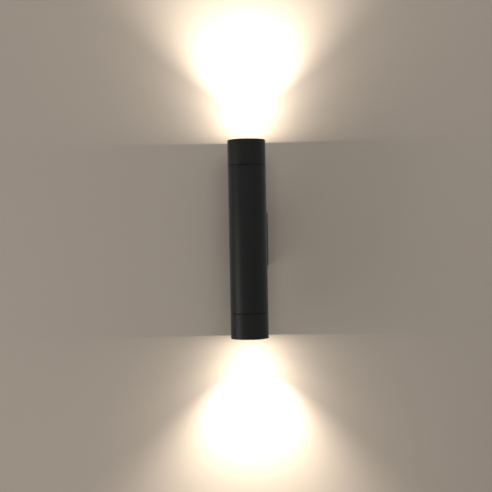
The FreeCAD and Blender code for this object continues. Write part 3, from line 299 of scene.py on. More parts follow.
def grid_quads(rows, columns, close_rows):
    """Faces of a grid that closes on itself along its columns, and along its rows if asked.

    Each face joins the points (row, column), (row, column + 1), (row + 1, column + 1) and
    (row + 1, column), so it looks outwards where rows climb on the outside.
    """
    row = np.arange(rows if close_rows else rows - 1)[:, None]
    column = np.arange(columns)[None, :]
    above = (row + 1) % rows
    beside = (column + 1) % columns
    corners = (
        row * columns + column,
        row * columns + beside,
        above * columns + beside,
        above * columns + column,
    )
    return np.stack(np.broadcast_arrays(*corners), axis=-1).reshape(-1, 4)


def add_piece(name, points, quads, place, sharp=SHARP_ANGLE, weld=False):
    """A piece from points in millimetres and its faces, moved by a matrix to its place.

    Faces are smooth, with a sharp edge wherever two of them meet at more than the angle sharp.
    A weld merges the points that fall together, such as the many at a pole.
    """
    mesh = bpy.data.meshes.new(name)
    mesh.from_pydata((points.reshape(-1, 3) * MM).tolist(), [], quads.tolist())
    mesh.transform(place)
    if weld:
        work = bmesh.new()
        work.from_mesh(mesh)
        bmesh.ops.remove_doubles(work, verts=work.verts, dist=1e-7)
        work.to_mesh(mesh)
        work.free()
    mesh.validate()
    mesh.shade_smooth()
    mesh.set_sharp_from_angle(angle=sharp)
    piece = bpy.data.objects.new(name, mesh)
    bpy.context.scene.collection.objects.link(piece)
    return piece


def round_angles(columns):
    """Angles of the columns round a turned piece, as one row."""
    return (np.arange(columns) * (2 * math.pi / columns))[None, :]


def smooth_step(values, start, end):
    """0 before start and 1 after end, with the cubic 3 t squared - 2 t cubed between them."""
    t = np.clip((values - start) / (end - start), 0, 1)
    return t * t * (3 - 2 * t)


def thread_cut(heights, angles, pitch, depth, low, high, run_out):
    """Depth of a right-hand thread cut at each height and angle.

    The phase is height / pitch - angle / full turn. A groove is a triangle wave of that phase,
    stretched and cropped so that crest and root are flat. It runs out smoothly at both ends.
    """
    phase = heights / pitch - angles / (2 * math.pi)
    wave = 1 - np.abs(2 * (phase - np.floor(phase)) - 1)
    groove = np.clip(1.7 * wave - 0.35, 0, 1)
    fade = smooth_step(heights, low, low + run_out) * (
        1 - smooth_step(heights, high - run_out, high)
    )
    return depth * groove * fade


def hexagon_radius(angles, key):
    """Distance from a hexagon's middle to its side at each angle: half the key over the cosine
    of the angle from the nearest flat's middle."""
    sixth = math.pi / 3
    from_flat = (angles + sixth / 2) % sixth - sixth / 2
    return key / 2 / np.cos(from_flat)


# -------- finishes


class Finish:
    """A material being mixed from texture nodes on the piece's own coordinates."""

    def __init__(self, name, **surface):
        self.material = bpy.data.materials.new(name)
        self.material.use_nodes = True
        self.tree = self.material.node_tree
        self.tree.nodes.clear()
        self.shader = self.add("ShaderNodeBsdfPrincipled")
        self.output = self.add("ShaderNodeOutputMaterial")
        self.join(self.shader.outputs["BSDF"], self.output.inputs["Surface"])
        self.where = self.add("ShaderNodeTexCoord").outputs["Object"]
        for socket, value in surface.items():
            self.set(socket.replace("_", " "), value)

    def add(self, kind, **settings):
        """A new node with its settings."""
        node = self.tree.nodes.new(kind)
        for name, value in settings.items():
            setattr(node, name, value)
        return node

    def join(self, source, target):
        """Link an output to an input."""
        self.tree.links.new(source, target)

    def feed(self, node, socket, value):
        """Give an input a link or a plain value."""
        target = node.inputs[socket]
        if isinstance(value, bpy.types.NodeSocket):
            self.join(value, target)
        elif target.type == "RGBA" and len(value) == 3:
            target.default_value = (*value, 1.0)
        else:
            target.default_value = value

    def set(self, socket, value):
        """Set one of the shader's own inputs."""
        self.feed(self.shader, socket, value)

    def noise(self, size, detail=2.0, roughness=0.5, where=None):
        """Cloudy noise whose blotches are about size metres wide."""
        node = self.add("ShaderNodeTexNoise")
        self.feed(node, "Vector", where or self.where)
        self.feed(node, "Scale", 1.0 / size)
        self.feed(node, "Detail", detail)
        self.feed(node, "Roughness", roughness)
        return node.outputs["Fac"]

    def cells(self, size, output="Distance"):
        """Random cells about size metres wide: the distance to the nearest, or its colour."""
        node = self.add("ShaderNodeTexVoronoi", feature="F1")
        self.feed(node, "Vector", self.where)
        self.feed(node, "Scale", 1.0 / size)
        return node.outputs[output]

    def span(self, value, low, high, start=0.0, end=1.0):
        """Low where the value is start, high where it is end, and evenly between them."""
        node = self.add("ShaderNodeMapRange")
        sockets = ("Value", "From Min", "From Max", "To Min", "To Max")
        for socket, number in zip(sockets, (value, start, end, low, high)):
            self.feed(node, socket, number)
        return node.outputs["Result"]

    def math(self, operation, first, second=0.0):
        """One step of arithmetic."""
        node = self.add("ShaderNodeMath", operation=operation)
        self.feed(node, 0, first)
        self.feed(node, 1, second)
        return node.outputs["Value"]

    def mix(self, share_of_second, first, second):
        """Two colours mixed."""
        node = self.add("ShaderNodeMix", data_type="RGBA")
        self.feed(node, 0, share_of_second)
        self.feed(node, 6, first)
        self.feed(node, 7, second)
        return node.outputs[2]

    def stretched(self, x, y, z):
        """The piece's coordinates, each multiplied by a number."""
        node = self.add("ShaderNodeMapping")
        self.feed(node, "Vector", self.where)
        self.feed(node, "Scale", (x, y, z))
        return node.outputs["Vector"]

    def along(self, axis):
        """One of the piece's coordinates."""
        node = self.add("ShaderNodeSeparateXYZ")
        self.feed(node, "Vector", self.where)
        return node.outputs[axis]

    def from_axis(self):
        """The distance from the tube's axis."""
        node = self.add("ShaderNodeMapping")
        self.feed(node, "Vector", self.where)
        self.feed(node, "Location", (0.0, -AXIS_Y, 0.0))
        self.feed(node, "Scale", (1.0, 1.0, 0.0))
        size = self.add("ShaderNodeVectorMath", operation="LENGTH")
        self.feed(size, 0, node.outputs["Vector"])
        return size.outputs["Value"]

    def bump(self, height, relief):
        """Roughen the surface by a height from 0 to 1, times relief metres."""
        node = self.add("ShaderNodeBump")
        self.feed(node, "Height", height)
        self.feed(node, "Distance", relief)
        self.feed(node, "Strength", 1.0)
        self.set("Normal", node.outputs["Normal"])

    def texture(self, noise, gloss, dull, relief):
        """Spread the roughness from gloss to dull over a noise, and bump the surface with it."""
        self.set("Roughness", self.span(noise, gloss, dull, 0.3, 0.7))
        self.bump(noise, relief)


def powder_coat(settings):
    """Matt black powder coat: fine grains on a soft orange peel, with a slow drift of tone."""
    finish = Finish("powder_coat", Specular_IOR_Level=0.22, IOR=1.5)
    grains = finish.noise(settings.grain, detail=3.0, roughness=0.55)
    peel = finish.noise(settings.peel, detail=1.0)
    drift = finish.noise(24 * MM, detail=2.0)
    tone = finish.math("MULTIPLY", finish.span(grains, 0.2, 1.0, 0.3, 0.7), drift)
    finish.set("Base Color", finish.mix(tone, settings.tone, settings.light_tone))
    dull = finish.math("ADD", grains, finish.math("MULTIPLY", drift, 0.5))
    finish.set(
        "Roughness", finish.span(dull, settings.gloss_low, settings.gloss_high, 0.45, 1.05)
    )
    finish.bump(finish.math("ADD", finish.math("MULTIPLY", grains, 0.5), peel), settings.relief)
    return finish.material


def bare_aluminium():
    """Turned aluminium: fine rings of the tool round the tube's axis."""
    finish = Finish("turned_aluminium", Metallic=1.0)
    marks = finish.noise(0.9 * MM, detail=4.0, where=finish.stretched(0.12, 0.12, 9.0))
    stain = finish.noise(6 * MM)
    finish.set("Base Color", finish.mix(stain, (0.60, 0.61, 0.62), (0.78, 0.79, 0.80)))
    finish.texture(marks, 0.22, 0.42, 0.012 * MM)
    return finish.material


def cast_casing():
    """Satin casing of a lamp: bead-blasted aluminium with a thin clear film."""
    finish = Finish("lamp_casing", Metallic=0.9)
    blast = finish.noise(0.35 * MM, detail=3.0)
    stain = finish.noise(11 * MM)
    finish.set("Base Color", finish.mix(stain, (0.66, 0.66, 0.655), (0.78, 0.78, 0.77)))
    finish.texture(blast, 0.34, 0.52, 0.015 * MM)
    return finish.material


def frosted_glass(settings):
    """Front glass: etched on its face, with a painted glow for the lamp's light below it,
    brightest over the lamp's middle.
    """
    finish = Finish("frosted_glass", IOR=1.5, Specular_IOR_Level=0.5)
    etch = finish.noise(0.28 * MM, detail=3.0)
    reach = finish.from_axis()
    cloud = finish.noise(5 * MM)
    finish.set("Base Color", finish.mix(cloud, (0.66, 0.66, 0.64), (0.74, 0.74, 0.72)))
    finish.set("Roughness", finish.span(etch, 0.24, 0.40, 0.3, 0.7))
    finish.set("Alpha", finish.span(reach, 0.24, 0.55, 8 * MM, 25 * MM))
    # Painted glow: emission stands in for the lamp's light through the frost, warm over the
    # middle, dimmer and weaker towards the rim
    rim = tuple(0.62 * part for part in settings.warmth)
    fall = finish.span(reach, 0.0, 1.0, 4 * MM, 26 * MM)
    finish.set("Emission Color", finish.mix(fall, settings.warmth, rim))
    fade = finish.span(reach, settings.glass_painted_glow, 0.30 * settings.glass_painted_glow, 2 * MM, 26 * MM)
    finish.set("Emission Strength", finish.math("MULTIPLY", fade, finish.span(etch, 0.92, 1.08)))
    finish.bump(etch, 0.010 * MM)
    return finish.material


def lamp_optic(settings):
    """Moulded lamp optic: clear plastic whose lenslets glow at their crowns."""
    finish = Finish("lamp_optic", IOR=1.49, Specular_IOR_Level=0.5)
    crown = finish.add("ShaderNodeAttribute", attribute_name="lenslet").outputs["Fac"]
    haze = finish.noise(1.2 * MM)
    finish.set("Base Color", finish.mix(crown, (0.34, 0.33, 0.30), (0.62, 0.60, 0.55)))
    finish.set("Roughness", finish.span(haze, 0.08, 0.2))
    finish.set("Emission Color", finish.mix(crown, settings.warmth, (1.0, 0.93, 0.80)))
    glow = finish.span(crown, 0.16 * settings.optic_glow, settings.optic_glow, 0.15, 0.95)
    reach = finish.from_axis()
    fade = finish.span(reach, 1.0, 0.45, 6 * MM, 21 * MM)
    finish.set("Emission Strength", finish.math("MULTIPLY", glow, fade))
    finish.bump(haze, 0.004 * MM)
    return finish.material


def moulded_plastic(name, dark, light, gloss, dull):
    """Moulded plastic: a faint flow pattern in its colour and a fine die texture."""
    finish = Finish(name, IOR=1.46)
    flow = finish.noise(7 * MM, detail=3.0, where=finish.stretched(1.0, 1.0, 0.35))
    die = finish.noise(0.5 * MM, detail=2.0)
    finish.set("Base Color", finish.mix(flow, dark, light))
    finish.texture(die, gloss, dull, 0.008 * MM)
    return finish.material


def glazed_ceramic():
    """Ceramic lampholder: warm white, with dark specks and a slightly uneven glaze."""
    finish = Finish("ceramic", IOR=1.54)
    specks = finish.cells(1.6 * MM)
    shade = finish.noise(6 * MM)
    body = finish.mix(shade, (0.80, 0.78, 0.72), (0.88, 0.86, 0.80))
    speck = finish.span(specks, 1.0, 0.0, 0.03, 0.09)
    finish.set("Base Color", finish.mix(speck, body, (0.42, 0.37, 0.30)))
    finish.set("Roughness", finish.span(shade, 0.28, 0.46))
    finish.bump(finish.noise(0.9 * MM), 0.015 * MM)
    return finish.material


def zinc_plate():
    """Zinc-plated steel: grey grains with a faint yellow and blue cast."""
    finish = Finish("zinc_plated_steel", Metallic=1.0)
    grain = finish.cells(2.6 * MM, output="Color")
    fine = finish.noise(0.4 * MM, detail=3.0)
    cast = finish.mix(finish.noise(9 * MM), (0.62, 0.63, 0.66), (0.70, 0.68, 0.62))
    shade = finish.add("ShaderNodeRGBToBW")
    finish.feed(shade, "Color", grain)
    light = finish.span(shade.outputs["Val"], 0.0, 0.45)
    finish.set("Base Color", finish.mix(light, cast, (0.50, 0.51, 0.53)))
    finish.texture(fine, 0.26, 0.44, 0.010 * MM)
    return finish.material


def black_oxide():
    """Blackened steel of the screws: oily dark film, worn brighter in places."""
    finish = Finish("black_oxide", Metallic=1.0)
    worn = finish.noise(0.5 * MM, detail=4.0, roughness=0.6)
    fine = finish.noise(0.22 * MM, detail=2.0)
    wear = finish.span(worn, 0.0, 1.0, 0.56, 0.74)
    finish.set("Base Color", finish.mix(wear, (0.045, 0.046, 0.05), (0.10, 0.10, 0.104)))
    finish.texture(fine, 0.30, 0.48, 0.006 * MM)
    return finish.material


def plated_metal(name, dark, light, gloss, dull):
    """Nickel or brass: drawn marks along the part and a light tarnish."""
    finish = Finish(name, Metallic=1.0)
    drawn = finish.noise(0.5 * MM, detail=3.0, where=finish.stretched(2.4, 2.4, 0.2))
    tarnish = finish.noise(3 * MM, detail=3.0)
    finish.set("Base Color", finish.mix(tarnish, dark, light))
    finish.texture(drawn, gloss, dull, 0.006 * MM)
    return finish.material


def moulded_rubber():
    """Black rubber of seals and bushes: dull, with a bloom and a soft texture."""
    finish = Finish("black_rubber", IOR=1.5, Specular_IOR_Level=0.3)
    bloom = finish.noise(4 * MM, detail=3.0)
    skin = finish.noise(0.6 * MM, detail=2.0)
    finish.set("Base Color", finish.mix(bloom, (0.013, 0.013, 0.014), (0.034, 0.034, 0.034)))
    finish.texture(skin, 0.62, 0.82, 0.020 * MM)
    return finish.material


def closed_foam():
    """Closed-cell foam of the wall gasket: small open bubbles on its cut face."""
    finish = Finish("black_foam", IOR=1.45, Specular_IOR_Level=0.2)
    bubble = finish.cells(0.55 * MM)
    pit = finish.span(bubble, 0.0, 1.0, 0.1, 0.5)
    finish.set("Base Color", finish.mix(pit, (0.010, 0.010, 0.010), (0.042, 0.042, 0.041)))
    finish.set("Roughness", finish.span(bubble, 0.95, 0.8))
    finish.bump(pit, 0.06 * MM)
    return finish.material


def lead_sleeves():
    """Sleeves of a lamp's two leads: blue on the left lead and brown on the right one.

    Between the bush and the terminal block the leads fan out to the right, so the line between
    the two colours moves to the right in three straight stretches as they near the wall.
    """
    finish = Finish("lead_sleeves", IOR=1.45, Specular_IOR_Level=0.4)
    split = 0.5 * MM
    for start, end, rise in ((-28.5, -19.0, 3.9), (-19.0, -12.0, 5.0), (-12.0, -9.2, 5.3)):
        stretch = finish.span(finish.along("Y"), 0.0, rise * MM, start * MM, end * MM)
        split = finish.math("ADD", stretch, split)
    right = finish.math("GREATER_THAN", finish.along("X"), split)
    skin = finish.noise(0.8 * MM, detail=2.0)
    blue = finish.mix(skin, (0.030, 0.095, 0.33), (0.045, 0.13, 0.42))
    brown = finish.mix(skin, (0.105, 0.043, 0.018), (0.15, 0.065, 0.028))
    finish.set("Base Color", finish.mix(right, blue, brown))
    finish.texture(skin, 0.40, 0.55, 0.010 * MM)
    return finish.material


def earth_sleeve():
    """Green and yellow earth lead with tinned tags.

    A point belongs to a tag where it lies to the right of the tag's crimp: 8.5 mm left of the
    box's screw, and 16.5 mm left of the middle at the plate's stud.
    """
    finish = Finish("earth_sleeve", IOR=1.45)
    x, y, z = (finish.along(axis) for axis in "XYZ")
    crimp = finish.span(y, -8.5 * MM, -16.5 * MM, -21 * MM, -19 * MM)
    tag = finish.math("GREATER_THAN", x, crimp)
    lay = finish.math("ADD", finish.math("ADD", x, y), finish.math("MULTIPLY", z, 2.4))
    turn = finish.math("SINE", finish.math("MULTIPLY", lay, 2 * math.pi / (7 * MM)))
    stripe = finish.span(turn, 0.0, 1.0, -0.12, 0.12)
    skin = finish.noise(0.8 * MM)
    green = finish.mix(skin, (0.025, 0.19, 0.035), (0.04, 0.25, 0.05))
    sleeve = finish.mix(stripe, green, (0.78, 0.62, 0.05))
    tin = finish.mix(skin, (0.62, 0.62, 0.61), (0.76, 0.76, 0.75))
    finish.set("Base Color", finish.mix(tag, sleeve, tin))
    finish.set("Metallic", tag)
    finish.texture(skin, 0.34, 0.5, 0.010 * MM)
    return finish.material


FINISHES = {}


def finish_named(name):
    """A finish that is already mixed. It stops the script if it is not."""
    if name not in FINISHES:
        raise RuntimeError(f"the finish {name} is not mixed yet")
    return FINISHES[name]


def dress(piece, name):
    """Give a piece one finish all over."""
    piece.data.materials.clear()
    piece.data.materials.append(finish_named(name))


def dress_nodes(name, *nodes):
    """Give carried-over nodes one finish through their own material slots."""
    for node in nodes:
        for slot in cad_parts[node].material_slots:
            slot.material = finish_named(name)


def both_ends(*names):
    """The names of the pieces of the upper and of the lower end."""
    return [f"{end}_{name}" for end in END_TURNS for name in names]


class WALLLIGHT_OT_mix_finishes(bpy.types.Operator):
    """Mix every finish of the light"""

    bl_idname = "wall_light.mix_finishes"
    bl_label = "Mix Finishes"

    def execute(self, context):
        settings = context.scene.wall_light
        FINISHES.update(
            black_paint=powder_coat(settings.coat),
            turned_aluminium=bare_aluminium(),
            lamp_casing=cast_casing(),
            frosted_glass=frosted_glass(settings.lamp),
            lamp_optic=lamp_optic(settings.lamp),
            lamp_plastic=moulded_plastic(
                "lamp_plastic", (0.76, 0.755, 0.73), (0.86, 0.855, 0.83), 0.18, 0.32
            ),
            block_plastic=moulded_plastic(
                "block_plastic", (0.78, 0.775, 0.73), (0.88, 0.875, 0.84), 0.38, 0.52
            ),
            ceramic=glazed_ceramic(),
            zinc_steel=zinc_plate(),
            black_steel=black_oxide(),
            nickel=plated_metal("nickel", (0.60, 0.585, 0.55), (0.74, 0.72, 0.68), 0.16, 0.30),
            brass=plated_metal("brass", (0.58, 0.42, 0.19), (0.78, 0.61, 0.32), 0.20, 0.36),
            black_rubber=moulded_rubber(),
            black_foam=closed_foam(),
            lead_sleeve=lead_sleeves(),
            earth_sleeve=earth_sleeve(),
        )
        return {"FINISHED"}


# -------- tube and rings


def cut_hole(tube, radius, height):
    """Cut a round hole through the tube's back with a bar along Y at a height.

    The bar starts inside the tube's bore and ends behind its back.
    """
    columns = 48
    near, far = TUBE_BORE_R - 6.0, OUTER_R + 5.0
    radii = np.array([0.0, radius, radius, 0.0])[:, None]
    reach = np.array([near, near, far, far])[:, None]
    points = turned_surface(radii, reach, round_angles(columns))
    quads = grid_quads(len(radii), columns, False)
    into_wall = Matrix.Rotation(-math.pi / 2, 4, "X")
    place = Matrix.Translation((0, AXIS_Y, height * MM)) @ into_wall
    bar = add_piece("hole_bar", points, quads, place, weld=True)
    cutter = tube.modifiers.new("Hole", "BOOLEAN")
    cutter.object = bar
    cutter.operation = "DIFFERENCE"
    cutter.solver = "EXACT"
    graph = bpy.context.evaluated_depsgraph_get()
    cut = bpy.data.meshes.new_from_object(tube.evaluated_get(graph))
    tube.modifiers.clear()
    before = tube.data
    tube.data = cut
    bpy.data.objects.remove(bar)
    bpy.data.meshes.remove(before)


class WALLLIGHT_OT_body_tube(bpy.types.Operator):
    """Build the tube with rounded ends, sockets for the rings and three holes in its back"""

    bl_idname = "wall_light.body_tube"
    bl_label = "Body Tube"

    def execute(self, context):
        shell = context.scene.wall_light.shell
        soft = shell.edge_round / MM
        upper = [
            (OUTER_R, TUBE_END - EDGE_CUT, soft),
            (OUTER_R - EDGE_CUT, TUBE_END, soft),
            (SOCKET_R, TUBE_END, 0.08),
            (SOCKET_R, SOCKET_FLOOR, 0.0),
            (TUBE_BORE_R, SOCKET_FLOOR, 0.0),
        ]
        lower = [(radius, -height, bend) for radius, height, bend in reversed(upper)]
        radii, heights = rounded(lower + upper)
        angles = round_angles(shell.columns)
        points = turned_surface(radii[:, None], heights[:, None], angles)
        quads = grid_quads(radii.size, shell.columns, True)
        tube = add_piece("tube_shell", points, quads, ON_AXIS)
        leads_r, screw_r, screw_height = 6.0, 2.2, 28.0
        cut_hole(tube, leads_r, 0.0)
        cut_hole(tube, screw_r, screw_height)
        cut_hole(tube, screw_r, -screw_height)
        tube.data.shade_smooth()
        tube.data.set_sharp_from_angle(angle=SHARP_ANGLE)
        dress(tube, "black_paint")
        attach(tube, "fixture")
        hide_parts("body_tube")
        return {"FINISHED"}


class WALLLIGHT_OT_end_rings(bpy.types.Operator):
    """Build the two end rings, each with a thread and a seal's groove on its spigot"""

    bl_idname = "wall_light.end_rings"
    bl_label = "End Rings"

    def execute(self, context):
        shell = context.scene.wall_light.shell
        soft = shell.edge_round / MM
        corners = [
            (SPIGOT_BORE_R, SPIGOT_END, 0.15),
            (SPIGOT_R - EDGE_CUT, SPIGOT_END, 0.15),
            (SPIGOT_R, SPIGOT_END + EDGE_CUT, 0.12),
            (SPIGOT_R, GROOVE_LOW, 0.06),
            (GROOVE_R, GROOVE_LOW, 0.0),
            (GROOVE_R, GROOVE_HIGH, 0.0),
            (SPIGOT_R, GROOVE_HIGH, 0.06),
            (SPIGOT_R, RING_LOW, 0.0),
            (OUTER_R - EDGE_CUT, RING_LOW, soft),
            (OUTER_R, RING_LOW + EDGE_CUT, soft),
            (OUTER_R, RIM_END - RIM_CUT, 0.2),
            (OUTER_R - RIM_CUT, RIM_END, 0.2),
            (POCKET_R, RIM_END, 0.2),
            (POCKET_R, LEDGE_HIGH, 0.0),
            (LEDGE_R, LEDGE_HIGH, 0.2),
            (LEDGE_R, LEDGE_LOW, 0.2),
            (SPIGOT_BORE_R, LEDGE_LOW, 0.0),
        ]
        low, high, run_out, row_step = 103.7, 109.0, 0.7, 0.1
        radii, heights = rounded(corners)
        radii, heights = with_rows(radii, heights, low, high, row_step)
        angles = round_angles(shell.columns)
        threaded = (np.isclose(radii, SPIGOT_R) & (heights < GROOVE_LOW))[:, None]
        pitch, depth = shell.thread_pitch / MM, shell.thread_depth / MM
        cut = thread_cut(heights[:, None], angles, pitch, depth, low, high, run_out)
        cut_radii = radii[:, None] - np.where(threaded, cut, 0.0)
        points = turned_surface(cut_radii, heights[:, None], angles)
        quads = grid_quads(radii.size, shell.columns, True)
        beside_groove = (heights > SPIGOT_END + 0.5) & (heights < GROOVE_LOW - 0.1)
        bare = beside_groove & (radii > SPIGOT_R - 0.5)
        for end, end_turn in END_TURNS.items():
            ring = add_piece(f"{end}_screw_ring", points, quads, ON_AXIS @ end_turn)
            dress(ring, "black_paint")
            ring.data.materials.append(finish_named("turned_aluminium"))
            material = np.repeat(bare, shell.columns).astype(np.int32)
            ring.data.polygons.foreach_set("material_index", material)
            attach(ring, f"{end}_ring")
            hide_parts(f"{end}_end_ring")
        return {"FINISHED"}


# -------- glass and lamps


class WALLLIGHT_OT_front_glasses(bpy.types.Operator):
    """Finish the two front glasses and their gaskets"""

    bl_idname = "wall_light.front_glasses"
    bl_label = "Front Glasses"

    def execute(self, context):
        dress_nodes("frosted_glass", *both_ends("lens_glass"))
        dress_nodes("black_rubber", *both_ends("lens_gasket", "ring_seal"))
        return {"FINISHED"}


def lenslet_field(x, y, spacing):
    """Height from 0 to 1 of the lenslet at each point.

    The lenslets' middles form two rectangular lattices, one shifted by half a cell both ways,
    which together are a hexagonal one. The height is 1 less the squared share of the way from
    the nearest middle to its cell's corner.
    """
    tall = spacing * math.sqrt(3)

    def to_lattice(shift_x, shift_y):
        across = (x - shift_x + spacing / 2) % spacing - spacing / 2
        along = (y - shift_y + tall / 2) % tall - tall / 2
        return across**2 + along**2

    nearest = np.minimum(to_lattice(0, 0), to_lattice(spacing / 2, tall / 2))
    return np.clip(1 - nearest / (spacing**2 / 3), 0, 1)


class WALLLIGHT_OT_lamp_optics(bpy.types.Operator):
    """Build each lamp's optic, a disc with a field of small domed lenses"""

    bl_idname = "wall_light.lamp_optics"
    bl_label = "Lamp Optics"

    def execute(self, context):
        lamp = context.scene.wall_light.lamp
        columns = 288
        field_rows, field_r, field_height, field_rise = 70, 19.6, 142.9, 0.35
        angles = round_angles(columns)
        back = np.array([[0.0, 141.0], [22.3, 141.0], [22.45, 141.15], [22.45, 143.3]])
        rim = np.array([[22.3, 143.55], [20.3, 143.75], [20.0, 143.6], [19.7, 143.1]])
        inner = np.linspace(field_r, 0.0, field_rows)
        field = np.stack([inner, np.full(field_rows, field_height)], axis=1)
        profile = np.concatenate([back, rim, field])
        radii, heights = profile[:, :1], profile[:, 1:]
        x, y = radii * np.cos(angles), radii * np.sin(angles)
        in_field = (np.arange(len(profile)) >= len(back) + len(rim))[:, None]
        edge = 1 - smooth_step(radii, field_r - 1.2, field_r)
        dome = np.where(in_field, lenslet_field(x, y, lamp.lenslet / MM) * edge, 0.0)
        rise = np.where(in_field, field_rise * (1 - (radii / field_r) ** 2), 0.0)
        crowned = heights + rise + dome * lamp.lenslet_height / MM
        points = turned_surface(radii, crowned, angles)
        quads = grid_quads(len(profile), columns, False)
        for end, end_turn in END_TURNS.items():
            place = ON_AXIS @ end_turn
            optic = add_piece(f"{end}_optic", points, quads, place, math.radians(50), weld=True)
            count = len(optic.data.vertices)
            spots = np.empty(count * 3, np.float32)
            optic.data.vertices.foreach_get("co", spots)
            local = spots.reshape(-1, 3) / MM - np.array([0, AXIS_Y / MM, 0])
            sign = 1 if end == "upper" else -1
            reach = np.hypot(local[:, 0], local[:, 1])
            on_field = (reach < field_r - 0.1) & (local[:, 2] * sign > field_height - 0.5)
            crowns = lenslet_field(sign * local[:, 0], local[:, 1], lamp.lenslet / MM)
            glow = np.where(on_field, crowns, 0.0)
            layer = optic.data.attributes.new("lenslet", "FLOAT", "POINT")
            layer.data.foreach_set("value", glow.astype(np.float32))
            dress(optic, "lamp_optic")
            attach(optic, f"{end}_lamp")
            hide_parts(f"{end}_lamp_lens")
        return {"FINISHED"}


class WALLLIGHT_OT_lamps(bpy.types.Operator):
    """Finish the lamps' casings, feet and pins"""

    bl_idname = "wall_light.lamps"
    bl_label = "Lamps"

    def execute(self, context):
        dress_nodes("lamp_casing", *both_ends("lamp_housing"))
        dress_nodes("lamp_plastic", *both_ends("lamp_base"))
        dress_nodes("nickel", *both_ends("lamp_pins"))
        return {"FINISHED"}


class WALLLIGHT_OT_lampholders(bpy.types.Operator):
    """Finish the lampholders, their contacts and the bridge that carries them"""

    bl_idname = "wall_light.lampholders"
    bl_label = "Lampholders"

    def execute(self, context):
        dress_nodes("ceramic", *both_ends("lampholder"))
        dress_nodes("brass", *both_ends("holder_contacts"))
        dress_nodes("zinc_steel", "lamp_bridge", "bridge_nuts", "holder_screws", "holder_nuts")
        return {"FINISHED"}


# -------- wall box and what it holds


class WALLLIGHT_OT_wall_box(bpy.types.Operator):
    """Finish the wall box, its foam gasket and the bush and screws behind the saddle"""

    bl_idname = "wall_light.wall_box"
    bl_label = "Wall Box"

    def execute(self, context):
        dress_nodes("black_paint", "wall_box")
        dress_nodes("black_foam", "wall_gasket")
        dress_nodes("black_rubber", "lead_bush")
        dress_nodes("zinc_steel", "tube_fixing_screws", "tube_fixing_washers")
        return {"FINISHED"}


class WALLLIGHT_OT_side_screws(bpy.types.Operator):
    """Build the two sunk screws in the box's sides, with sockets and cut threads"""

    bl_idname = "wall_light.side_screws"
    bl_label = "Side Screws"

    def execute(self, context):
        columns = 96
        shank_r, key_width, edge_cut, face_height = 2.0, 2.5, 0.14, 30.0
        pitch, depth, low, high, run_out = 0.7, 0.32, 22.4, 27.9, 0.5
        angles = round_angles(columns)
        tip = np.array([[0.0, 22.0], [1.55, 22.0], [1.75, 22.2], [shank_r, 22.45]])
        shank = np.arange(22.5, high, 0.07)
        side = np.stack([np.full(shank.size, shank_r), shank], axis=1)
        head = np.array(
            [[shank_r, 28.1], [2.08, 28.24], [3.66, 29.82], [3.74, 29.9], [3.7, 29.97]]
        )
        face = np.array([[3.62, face_height], [2.3, face_height], [1.75, face_height]])
        profile = np.concatenate([tip, side, head, face])
        row = np.arange(len(profile))[:, None]
        threaded = (row >= len(tip)) & (row < len(tip) + shank.size)
        cut = thread_cut(profile[:, 1:], angles, pitch, depth, low, high, run_out)
        turned = profile[:, :1] - np.where(threaded, cut, 0.0)
        hexagon = hexagon_radius(angles, key_width)
        socket = np.concatenate([hexagon + edge_cut, hexagon, hexagon, hexagon * 0.0])
        socket_heights = np.array([[face_height], [face_height - edge_cut], [28.7], [28.3]])
        radii = np.concatenate([turned, socket])
        heights = np.concatenate([profile[:, 1:], socket_heights])
        points = turned_surface(radii, heights, angles)
        quads = grid_quads(len(radii), columns, False)
        from_wall = Matrix.Translation((0, -12 * MM, 0))
        for name, lean in (("right", math.pi / 2), ("left", -math.pi / 2)):
            place = from_wall @ Matrix.Rotation(lean, 4, "Y")
            screw = add_piece(f"{name}_side_screw", points, quads, place, weld=True)
            dress(screw, "black_steel")
            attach(screw, "fixture")
            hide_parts("box_side_screws")
        return {"FINISHED"}


class WALLLIGHT_OT_wall_plate(bpy.types.Operator):
    """Finish the wall plate, its cable bush and the earth connections"""

    bl_idname = "wall_light.wall_plate"
    bl_label = "Wall Plate"

    def execute(self, context):
        dress_nodes("zinc_steel", "wall_plate", "earth_nut", "earth_screw")
        dress_nodes("black_rubber", "cable_bush")
        dress_nodes("earth_sleeve", "earth_lead")
        return {"FINISHED"}


class WALLLIGHT_OT_wiring(bpy.types.Operator):
    """Finish the terminal block and the lamps' leads"""

    bl_idname = "wall_light.wiring"
    bl_label = "Wiring"

    def execute(self, context):
        dress_nodes("block_plastic", "terminal_block")
        dress_nodes("brass", "terminal_barrels")
        dress_nodes("zinc_steel", "terminal_clamp_screws", "terminal_fixing_screw")
        dress_nodes("lead_sleeve", *both_ends("lamp_leads"))
        return {"FINISHED"}


# -------- light, stage and camera


def add_light(name, kind, power, tone, place, aim):
    """A light at a place that shines towards aim, hidden from the camera."""
    data = bpy.data.lights.new(name, kind)
    data.energy = power
    data.color = tone
    light = bpy.data.objects.new(name, data)
    light.rotation_mode = "QUATERNION"
    light.location = place
    light.rotation_quaternion = (Vector(aim) - Vector(place)).to_track_quat("-Z", "Y")
    light.visible_camera = False
    bpy.context.scene.collection.objects.link(light)
    return light


